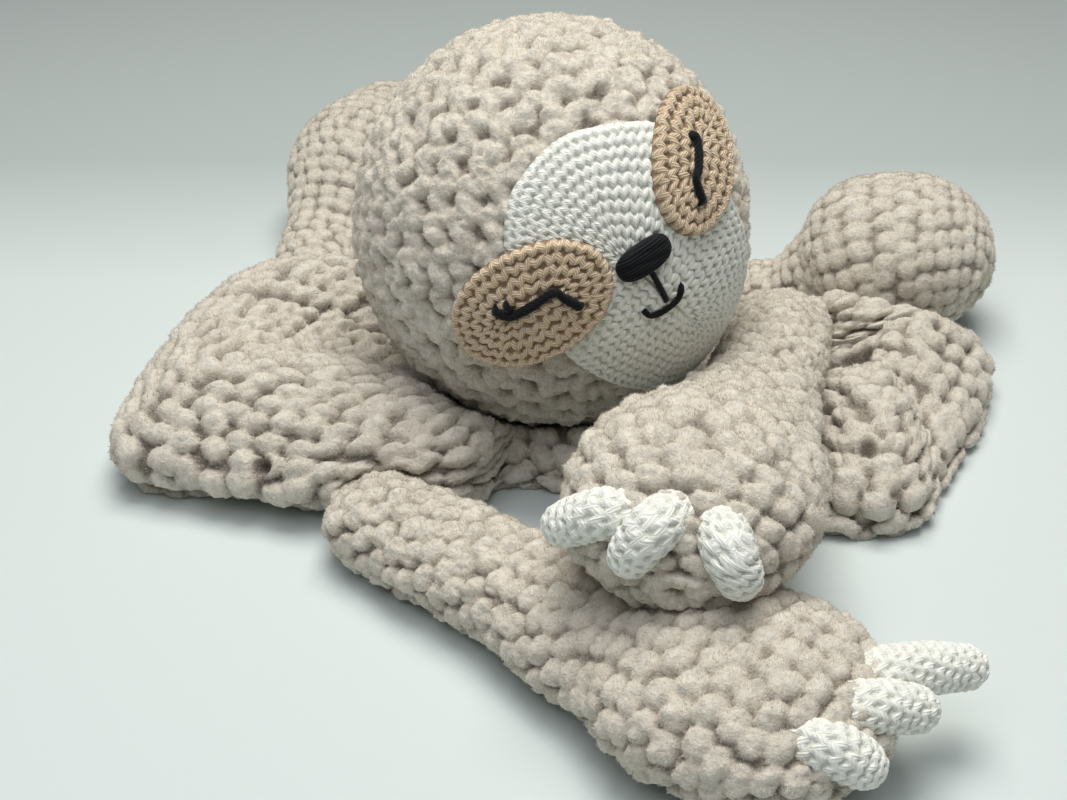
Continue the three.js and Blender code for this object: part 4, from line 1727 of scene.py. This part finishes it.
@dataclass
class Limb:
    """A stuffed chenille limb sewn to one corner of the cloth.

    Attributes:
        name: The limb's name in the frame.
        form: Its shape.
        claws: For each claw, points of its middle from the hand outwards.
        dip: Room in the cloth for the root's end to go down as the limb lifts.
        lies_on: The limb that presses this one's underside in.
        seam_radius: Half the width of the seam at its root.
        proud: How far the bulges stand over the solid's surface.
        stitch: Its stitch.
        spacing: The distance between rings of points.
        columns: Points in each ring.
        room: How much room the cloth leaves round the root.
        filling_inset: How far the filling lies inside the cover's wall.
        filling_lump: How far apart the filling's lumps are.
        uneven: How high they are.
        claw_start: How much of a claw's root is left out, inside the hand.
        nap: Its fibres.
        claw_profile: The claws' profile.
    """

    name: str
    form: Tube
    claws: Sequence[Sequence[Sequence[float]]] = ()
    dip: float = 0.0
    lies_on: str = ""
    seam_radius: float = 7.2
    proud: float = 0.7
    stitch: Stitch = CHENILLE_BEAN
    spacing: float = 0.78
    columns: int = 230
    room: float = 1.5
    filling_inset: float = 1.4
    filling_lump: float = 8.0
    uneven: float = 0.8
    claw_start: float = 6.0
    nap: Nap = Nap()
    claw_profile: tuple[tuple[float, float, float], ...] = ((0, 5.2, 5), (0.6, 5.6, 5.3), (1, 4.6, 4.4))

    def root(self) -> tuple[np.ndarray, np.ndarray, np.ndarray]:
        """Finds the limb's root.

        Returns:
            Its sewn end, its direction there and the middle of its round end.
        """
        line = curve_of(self.form.path)
        way = unit(line[1] - line[0])
        return line[0], way, line[0] + way * self.form.profile[0][1]

    def socket(self) -> tuple[np.ndarray, np.ndarray]:
        """Works out the room that the cloth leaves for the root.

        Returns:
            Its middle and its half sizes.
        """
        _, wide, tall = self.form.profile[0]
        wide, tall = wide + self.room, tall + self.room
        return self.root()[2], np.array([wide, wide, tall + self.dip])

    def build(self, shop: Workshop, seed: int) -> None:
        """Makes the cover, the filling, the seam and the claws.

        Args:
            shop: The workshop.
            seed: Chooses how the stitches differ.
        """
        points, relief = self.form.crocheted(self.stitch, self.spacing, self.columns, seed, self.proud)
        if self.lies_on:
            points = pressed_out(points, shop, bpy.data.objects[f"{self.lies_on}_cover_chenille"])
        cover = shop.from_rings(f"{self.name}_cover_chenille", points)
        # The crest also sets the colour: painted shade in the hollows, painted light on the tops.
        store(cover, "crest", (relief.height / self.stitch.depth).ravel())
        shop.hand_over(cover, self.name, [f"{self.name}_cover"], Slot.CHENILLE, Held.STUFFED, fill=0.8)
        self.nap.grow(shop, cover, self.name, seed + 3)
        self.build_filling(shop, seed + 7)
        self.build_seam(shop)
        for number, path in enumerate(self.claws, start=1):
            self.build_claw(shop, number, path, seed + 10 + number)

    def build_filling(self, shop: Workshop, seed: int) -> None:
        """Makes the fibrefill inside the cover.

        Args:
            shop: The workshop.
            seed: Chooses its lumps.
        """
        points, _, _ = self.form.surface(2.5, 48, inset=COVER_WALL + self.filling_inset)
        lumps = self.uneven * noise(points, self.filling_lump, seed) - self.uneven / 2
        filling = shop.from_rings(f"{self.name}_filling", points + outward_of(points) * lumps[..., None])
        shop.hand_over(filling, self.name, [f"{self.name}_stuffing"], Slot.FIBREFILL, Held.STUFFED, fill=0.8)

    def build_seam(self, shop: Workshop) -> None:
        """Makes the strand that sews the limb to its corner.

        Args:
            shop: The workshop.
        """
        end, way, _ = self.root()
        _, wide, tall = self.form.profile[0]
        depth = wide - math.sqrt(wide**2 - self.seam_radius**2)
        loop = strand_loop(end + way * depth, way, self.seam_radius, tall / wide)
        seam = shop.from_mesh(f"{self.name}_seam_strand", *loop)
        shop.hand_over(seam, self.name, [f"{self.name}_seam"], Slot.CHENILLE, Held.PLAIN)

    def build_claw(self, shop: Workshop, number: int, path: Sequence[Sequence[float]], seed: int) -> None:
        """Makes one cotton claw.

        Args:
            shop: The workshop.
            number: The claw's number.
            path: Points of its middle.
            seed: Chooses how the stitches differ.
        """
        form = Tube(path, self.claw_profile)
        points, relief = form.crocheted(CLAW_COTTON, 0.36, 96, seed, proud=0.6, start=self.claw_start)
        node = f"{self.name}_claw_{number}"
        claw = shop.from_rings(f"{node}_cotton", points)
        # The crest sets the colour: painted shade between the stitches.
        store(claw, "crest", (relief.height / CLAW_COTTON.depth).ravel())
        store(claw, "strand", relief.strand.reshape(-1, 2))
        shop.hand_over(claw, self.name, [node], Slot.WHITE_COTTON, Held.STUFFED, fill=0.8)


ARM_PROFILE = [[0, 15.5, 11.5], [0.35, 16.5, 12.5], [0.56, 22.5, 13.5], [0.77, 31, 18], [1, 31, 18]]
PAW_PROFILE = [
    [0, 14.5, 8.5],
    [0.18, 15, 10.5],
    [0.38, 15.5, 12.5],
    [0.55, 19.5, 15.5],
    [0.8, 29.5, 20.5],
    [1, 29.5, 20.5],
]
LEG_PROFILE = [[0, 13, 7], [0.32, 13.5, 8], [0.64, 29, 25.5], [1, 29, 25.5]]


def four_limbs() -> list[Limb]:
    """Lays out the limbs, each along the path that its solid follows.

    Returns:
        The left arm, the right arm, the left leg and the right leg.
    """
    arm_left = [
        (-55, -61, 11), (-43, -72, 11), (-15, -96, 12), (16, -123, 13), (42, -146, 17), (67, -165, 17),
    ]  # fmt: skip
    arm_right = [
        (77, 44, 17), (73, 30, 18), (68.3, 8, 22.7), (63, -12, 25.5),
        (53.5, -45, 29), (42.6, -77, 35.5), (32, -107, 43), (26, -138, 38),
    ]  # fmt: skip
    leg_left = [(-80, 66, 6.5), (-82, 80, 7), (-80, 106, 14), (-72, 132, 22), (-58, 158, 25), (-40, 180, 25)]
    leg_right = [(44, 80, 6.5), (58, 78, 6.5), (75, 76, 7), (92, 72, 15), (110, 67, 24), (146, 61, 25)]
    left_claws = [
        [(56, -148, 19), (70, -146.5, 23.5), (94, -140, 20)],
        [(48, -159, 19), (62, -159, 24.5), (80, -155, 20.5)],
        [(42, -163, 19), (54, -169.5, 23.5), (66, -171, 17.5)],
    ]
    right_claws = [
        [(25, -118, 46), (11.3, -125.3, 50.6), (-2, -120.6, 43)],
        [(30, -120, 50), (20.2, -133.6, 51.8), (13.6, -133.4, 41.3)],
        [(35, -122, 50), (36.6, -138.6, 49.3), (40.6, -139.3, 39.3)],
    ]
    return [
        Limb("arm_left", Tube(arm_left, ARM_PROFILE), left_claws),
        Limb("arm_right", Tube(arm_right, PAW_PROFILE), right_claws, dip=4.0, lies_on="arm_left"),
        Limb("leg_left", Tube(leg_left, LEG_PROFILE), stitch=CHENILLE_FOOT),
        Limb("leg_right", Tube(leg_right, LEG_PROFILE), stitch=CHENILLE_FOOT),
    ]


# The cloth


@dataclass
class Blanket:
    """The chenille cloth, gathered in folds round the head.

    Attributes:
        neck_ring: How far from the neck the cloth hugs the ball, in degrees.
        hem_roll: How far the hem rolls under.
        floor_cut: How much the floor flattens the cloth's underside.
        proud: How far the bulges stand over the cloth.
        crease_height: How high the hem's crease lies, as a share of the way from the floor to its middle.
        crowding: Below 1 for rings that are closer together near the hem.
        under_neck: Where the rings under the neck lie, as shares of the way to the neck ring.
        spare: How much further than its stitches the cloth's middle keeps from the head and the limbs.
        easings: How often that push is evened out over the cloth.
        lump: How far apart the lumps are where the cloth is pressed.
        lump_height: How high they are, as a share of the way from the middle of what presses it.
        eyelet_depth: How deep the eyelets are pressed in, which also paints them in the hollows' painted
            shade.
        tucks: For some ways out, how far the hem's underside is drawn in under it.
        eyelets: Holes between stitches near the hem and a deep shaded hollow in the fold at the right,
            pressed in as pits and painted with the hollows' shade colour: places and half widths.
        columns: Points round the cloth.
        rings: Rings from the neck ring to the hem.
        hem_rings: Rings round the hem's edge.
        under_rings: Rings on the underside.
        nap: Its fibres.
        drape: Ways out from the neck, clockwise from under the chin, each of five or six points of the
            cloth's middle, the last on its hem.
    """

    neck_ring: float = 24.0
    hem_roll: float = 3.0
    floor_cut: float = 0.5
    proud: float = 0.5
    crease_height: float = 0.45
    crowding: float = 0.8
    under_neck: tuple[float, float, float] = (0.15, 0.4, 0.7)
    spare: float = 3.0
    easings: int = 24
    lump: float = 5.0
    lump_height: float = 0.09
    eyelet_depth: float = 8.5
    tucks: dict[int, float] = field(default_factory=lambda: {3: 13.0, 4: 13.0, 5: 7.0})
    eyelets: tuple[tuple[float, float, float, float], ...] = (
        (-77.5, -55.0, 18.0, 2.4),
        (-111.2, -39.4, 18.6, 2.2),
        (85.5, -47.5, 19.5, 2.4),
        (84.0, 7.0, 14.5, 5.0),
        (88.5, 9.5, 15.0, 5.0),
        (93.0, 9.0, 16.0, 4.5),
    )
    columns: int = 780
    rings: int = 101
    hem_rings: int = 8
    under_rings: int = 14
    nap: Nap = Nap(dense=2.0, long=1.2, wide=0.27)
    drape: tuple[tuple[tuple[float, float, float], ...], ...] = (
        ((0, -2, 3), (3, -14, 3.5), (5, -24, 7), (7, -32, 12), (9, -38, 7)),
        ((-8, -12, 4), (-10, -19, 6), (-11, -26, 10), (-12, -31, 11), (-13, -36, 7)),
        ((-16, -22, 8), (-21, -34, 17), (-21, -44, 23), (-24, -53, 20), (-32, -59, 12)),
        ((-28, -20, 13.5), (-38, -31, 26), (-48, -41, 28), (-57, -50, 24), (-66, -58, 12)),
        ((-36, -10, 15), (-46, -19, 24), (-62, -27, 30), (-80, -38, 26), (-94, -50, 12)),
        ((-38, 4, 12), (-50, 3, 13), (-66, -5, 22), (-94, -21, 30), (-117.5, -42, 12)),
        ((-40, 20, 13), (-52, 22, 13), (-68, 20, 18), (-97, 8, 31), (-118, 0, 13)),
        ((-41, 36, 16), (-54, 40, 22), (-72, 43, 30), (-91, 44, 27), (-105, 46, 12)),
        ((-32, 54, 22), (-44, 58, 21), (-58, 60, 18), (-70, 62, 13), (-79, 65, 8)),
        ((-10, 62, 19), (-16, 74, 14), (-22, 84, 9), (-28, 92, 6), (-34, 100, 4)),
        ((8, 60, 14), (11, 72, 9), (13, 80, 6), (14, 88, 4.5), (15, 94, 4)),
        ((22, 54, 10), (27, 60, 8), (32, 65, 6), (35, 69, 5), (38, 73, 4)),
        ((27, 52, 9), (35, 56, 8), (42, 60, 6.5), (48, 62, 5), (53, 63, 4)),
        ((31, 48, 7), (44, 50, 5.5), (56, 52, 4.5), (65, 53, 4.2), (73, 54, 4)),
        ((33, 44, 6), (50, 44, 5), (68, 44, 4.5), (82, 41, 12), (89, 36.5, 21), (95, 41.5, 10)),
        ((34, 41, 6), (52, 39, 5), (70, 34, 4.5), (86, 28, 13), (102, 23.5, 24.5), (111, 28, 10)),
        ((34, 39, 6), (53, 36, 5), (72, 28, 5), (92, 20, 12), (114, 17, 24), (133, 22, 9)),
        ((34, 37, 6), (53, 33, 5), (74, 24, 5), (93, 16, 12), (109, 12, 23), (129, 4, 8)),
        ((33, 35, 6), (53, 30, 5), (74, 20, 5), (92, 12, 10), (104, 4, 20), (117, -22, 8)),
        ((32, 33, 5.5), (52, 28, 4.5), (73, 17, 5), (91, 10, 9), (101, -6, 13.5), (105, -42, 6)),
        ((31, 31, 5.5), (50, 25, 4.5), (72, 14, 5), (86, 8, 8.5), (95, -17, 22), (95, -59, 10)),
        ((30, 28, 5), (48, 22, 4.5), (69, 11, 4.5), (80, 4, 8.5), (86, -18, 21), (80, -60, 10)),
        ((28, 25, 4.5), (45, 18, 4), (62, 7, 4), (70, -4, 4.5), (76, -22, 7), (71, -57, 6)),
        ((27, 22, 4), (42, 14, 3.8), (55, 5, 3.7), (65, -8, 3.8), (68, -30, 4)),
        ((25, 18, 4), (38, 11, 3.5), (48, 3, 3.5), (55, -7, 3.5), (61, -20, 3.5)),
        ((20, 12, 3), (30, 7, 3), (39, 1, 3), (46, -7, 3), (52, -19, 3.5)),
        ((12, 2, 3), (20, -6, 3.2), (27, -15, 6), (32, -23, 11), (38, -32, 7)),
    )

    def under_ball(self, head: Head, side: np.ndarray, degrees: float) -> np.ndarray:
        """Finds the cloth's middle under the ball.

        Args:
            head: The head.
            side: A direction across the neck.
            degrees: The angle from the neck towards it.

        Returns:
            The place.
        """
        angle = math.radians(degrees)
        way = head.neck_way * math.cos(angle) + side * math.sin(angle)
        return head.centre + way * (head.reach + CLOTH_THICKNESS / 2)

    def way_out(self, head: Head, row: Sequence[Sequence[float]]) -> np.ndarray:
        """Follows the cloth's middle out from the neck.

        Args:
            head: The head that it goes under.
            row: The points of this way.

        Returns:
            Places from the neck ring to the hem, with three before them under the neck.
        """
        points = np.array(row, float)
        heading = unit(points[0] - head.centre)
        side = unit(heading - head.neck_way * (heading @ head.neck_way))
        outward = unit((points[-1] - points[-2]) * [1, 1, 0])
        bed = CLOTH_THICKNESS / 2 - self.floor_cut
        drop = points[-1][2] - bed
        roll = min(self.hem_roll + 2, drop)
        tuck = self.tucks.get(self.drape.index(row), 0)
        crease = points[-1] + outward * (2 - roll - 0.4 * tuck)
        crease[2] = bed + drop * self.crease_height
        rim = points[-1] + outward * (4 - 0.6 * roll - tuck)
        rim[2] = bed
        stops = np.array([self.under_ball(head, side, self.neck_ring), *points, crease, rim])
        dense = spline(stops, np.linspace(0, len(stops) - 1, 900))
        shares = np.linspace(0, 1, self.rings) ** self.crowding
        out = at_lengths(dense, lengths_along(dense)[-1] * shares)
        inner = [self.under_ball(head, side, self.neck_ring * share) for share in self.under_neck]
        return np.concatenate([inner, out])

    def build(self, shop: Workshop, head: Head, limbs: Sequence[Limb]) -> None:
        """Makes the cloth and its fibres.

        Args:
            shop: The workshop.
            head: The head that lies on it.
            limbs: The limbs that are sewn to it.
        """
        ways = np.array([self.way_out(head, row) for row in self.drape])
        at = np.arange(self.columns) / self.columns * len(ways)
        middle = spline(ways, at, closed=True).transpose(1, 0, 2)
        push = self.make_room(middle, head, limbs, self.spare) - middle
        middle = middle + evened(push, self.easings)
        around = np.roll(middle, -1, axis=1) - np.roll(middle, 1, axis=1)
        onward = np.gradient(middle, axis=0)
        upward = unit(np.cross(around, onward))
        outward = unit(onward[-1])
        steps = np.linalg.norm(np.diff(middle, axis=0), axis=-1)
        from_hem = np.concatenate([np.cumsum(steps[::-1], axis=0)[::-1], np.zeros((1, self.columns))])
        half = CLOTH_THICKNESS / 2
        bend = np.linspace(0, math.pi, self.hem_rings + 2)[1:-1]
        hem_way = upward[-1] * np.cos(bend)[:, None, None] + outward * np.sin(bend)[:, None, None]
        under = np.linspace(len(middle) - 1, 0, self.under_rings).astype(int)
        base = np.concatenate([middle, np.broadcast_to(middle[-1], hem_way.shape), middle[under]])
        way = np.concatenate([upward, hem_way, -upward[under]])
        over_edge = half * np.broadcast_to(bend[:, None], hem_way.shape[:2])
        signed = np.concatenate([from_hem, -over_edge, -math.pi * half - from_hem[under]])
        stitch = CHENILLE_CLOTH
        relief = crochet(self.rounds(middle, from_hem, signed), stitch, seed=61)
        surface = base + way * half
        # Each eyelet is pressed in, and as its crest drops the chenille paints it with the hollows' painted
        # shade.
        for x, y, z, reach in self.eyelets:
            apart = np.linalg.norm(surface - [x, y, z], axis=-1) / reach
            relief.height = relief.height - self.eyelet_depth * np.exp(-(apart**3))
        height = relief.height - stitch.depth + self.proud + 0.9 * pile(surface, seed=62)
        points = self.make_room(base + way * (half + height)[..., None], head, limbs)
        cloth = shop.from_rings("blanket_chenille", on_floor(points))
        # The crest sets the cloth's colour: painted shade in the hollows, painted light on the tops.
        store(cloth, "crest", (relief.height / stitch.depth).ravel())
        size = (0.24, 0.24)
        shop.hand_over(
            cloth, "blanket", ["blanket"], Slot.CHENILLE, Held.SHEET, size=size, hold="gathered"
        )
        self.nap.grow(shop, cloth, "blanket", seed=71)

    def rounds(self, middle: np.ndarray, from_hem: np.ndarray, signed: np.ndarray) -> Rounds:
        """Finds where each point lies in the work, whose rounds follow the hem.

        Args:
            middle: The cloth's middle, rings by columns.
            from_hem: The distance of each of its points from the hem.
            signed: For each point of the whole surface, the distance from the hem, below zero underneath.

        Returns:
            The rounds.
        """
        step = CHENILLE_CLOTH.height
        under_count = math.ceil(-signed.min() / step) + 1
        top_count = math.ceil(signed.max() / step) + 1
        rim = math.pi * CLOTH_THICKNESS / 2
        shares, lengths = [], []
        for number in range(-under_count, top_count):
            place = (number + 0.5) * step
            place = place if place >= 0 else max(-place - rim, 0)
            loop = np.empty((self.columns, 3))
            for column, axis in np.ndindex(loop.shape):
                loop[column, axis] = np.interp(place, from_hem[::-1, column], middle[::-1, column, axis])
            run = lengths_along(np.vstack([loop, loop[:1]]))
            shares.append(run[:-1] / run[-1])
            lengths.append(run[-1])
        table = np.array(shares)
        column = np.broadcast_to(np.arange(self.columns), signed.shape)
        return Rounds(signed / step + under_count, lambda row: table[row, column], np.array(lengths))

    def make_room(
        self, points: np.ndarray, head: Head, limbs: Sequence[Limb], spare: float = 0.0
    ) -> np.ndarray:
        """Presses the cloth away from the head and from the roots of the limbs.

        Args:
            points: Places of the cloth.
            head: The head.
            limbs: The limbs.
            spare: How much further the places keep away.

        Returns:
            The places.
        """
        rooms = [(head.centre, np.full(3, head.reach + GAP)), *(limb.socket() for limb in limbs)]
        for centre, sizes in rooms:
            sizes = sizes + spare
            offset = (points - centre) / sizes
            depth = np.linalg.norm(offset, axis=-1, keepdims=True)
            lumps = self.lump_height * np.abs(noise(points, self.lump, seed=63))[..., None]
            pressed = centre + offset / np.maximum(depth, 1e-6) * sizes * (1 + lumps)
            points = np.where(depth < 1, pressed, points)
        return points


# The studio


@dataclass(frozen=True)
class Lamp:
    """A square soft lamp that shines on the toy.

    Attributes:
        place: Where it stands, seen from under the head's centre.
        size: Its width, in mm.
        power: Its power, in watts.
        colour: Its colour.
    """

    place: tuple[float, float, float]
    size: float
    power: float
    colour: str


@dataclass
class Studio:
    """A pale seamless floor with soft light from above, and the camera; the floor has painted shade that
    darkens it behind the toy.

    Attributes:
        floor: The floor's colour.
        far: The darker colour that it fades to behind the toy, painted shade.
        fading: Where that painted shade starts and ends behind the origin, in metres.
        floor_size: Its width, in metres.
        lamps: A large lamp above and behind the toy, and a weaker one in front of it.
        aim: What the lamps point at.
        sky: The colour of the air's own light.
        sky_strength: How strong that is.
        camera_from_head: Where the camera stands, seen from under the head's centre.
        camera_down: How far it looks down, in degrees.
        lens: Its focal length, in mm.
        film: The width of its film, in mm.
    """

    floor: str = "#d3dcdb"
    far: str = "#b6bfbe"
    fading: tuple[float, float] = (0.09, 0.21)
    floor_size: float = 6.0
    lamps: tuple[Lamp, ...] = (
        Lamp((25, 90, 930), 600, 8.0, "#fffcf5"),
        Lamp((-90, -440, 880), 700, 3.4, "#f6f9ff"),
    )
    aim: tuple[float, float, float] = (0, -20, 40)
    sky: str = "#eef3f5"
    sky_strength: float = 0.1
    camera_from_head: tuple[float, float, float] = (-4.95, -409.7, 243.2)
    camera_down: float = 30.0
    lens: float = 53.0
    film: float = 36.0

    def build(self, shop: Workshop) -> None:
        """Makes the floor, the lamps, the world and the camera.

        Args:
            shop: The workshop.
        """
        self.build_floor()
        self.build_light(shop)
        place = shop.place(self.camera_from_head)
        bpy.ops.object.camera_add(location=place, rotation=(math.radians(90 - self.camera_down), 0, 0))
        camera = bpy.context.object
        camera.data.lens = self.lens
        camera.data.sensor_width = self.film
        bpy.context.scene.camera = camera

    def build_floor(self) -> None:
        """Makes the floor, one wide sheet with painted shade that darkens it behind the toy."""
        bpy.ops.object.select_all(action="DESELECT")
        bpy.ops.mesh.primitive_plane_add(size=self.floor_size)
        stage = bpy.context.object
        stage.name = "studio_floor"
        recipe = Recipe("pale seamless paper")
        # Painted shade: the paper fades to the darker far colour behind the toy.
        depth = add_node(recipe.tree, "ShaderNodeSeparateXYZ", {"Vector": recipe.coords()}).outputs[1]
        colour = recipe.coated(self.floor, Coat(depth, *self.fading, self.far))
        stage.data.materials.append(recipe.dress(colour, (), {"Roughness": 0.9}))

    def build_light(self, shop: Workshop) -> None:
        """Adds the lamps and the air's own light.

        Args:
            shop: The workshop.
        """
        target = Vector(shop.place(self.aim))
        for lamp in self.lamps:
            location = Vector(shop.place(lamp.place))
            bpy.ops.object.light_add(type="AREA", location=location)
            light = bpy.context.object
            light.rotation_euler = (target - location).to_track_quat("-Z", "Y").to_euler()
            light.data.size = lamp.size * MM
            light.data.energy = lamp.power
            light.data.color = linear(lamp.colour)[:3]
        world = bpy.data.worlds.new("studio air")
        bpy.context.scene.world = world
        world.use_nodes = True
        sky = world.node_tree.nodes["Background"]
        sky.inputs["Color"].default_value = linear(self.sky)
        sky.inputs["Strength"].default_value = self.sky_strength


def corners(box: tuple) -> list[list[float]]:
    """Returns a box's two corners as plain lists."""
    return [[float(value) for value in corner] for corner in box]


def main() -> None:
    """Builds the toy and its studio."""
    logging.basicConfig(level=logging.INFO, format="%(name)s: %(message)s")
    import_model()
    head = Head()
    shop = Workshop.on_frame(head.centre[2])
    shop.finishes = {slot: finish.material() for slot, finish in FINISHES.items()}
    shop.fibres = FINISHES[Slot.CHENILLE].fibres()
    Studio().build(shop)
    head.build(shop)
    Face().build(shop, head)
    limbs = four_limbs()
    for number, limb in enumerate(limbs):
        limb.build(shop, seed=100 * (number + 1))
    Blanket().build(shop, head, limbs)
    bpy.context.scene.view_settings.view_transform = "Standard"


if __name__ == "__main__":
    main()
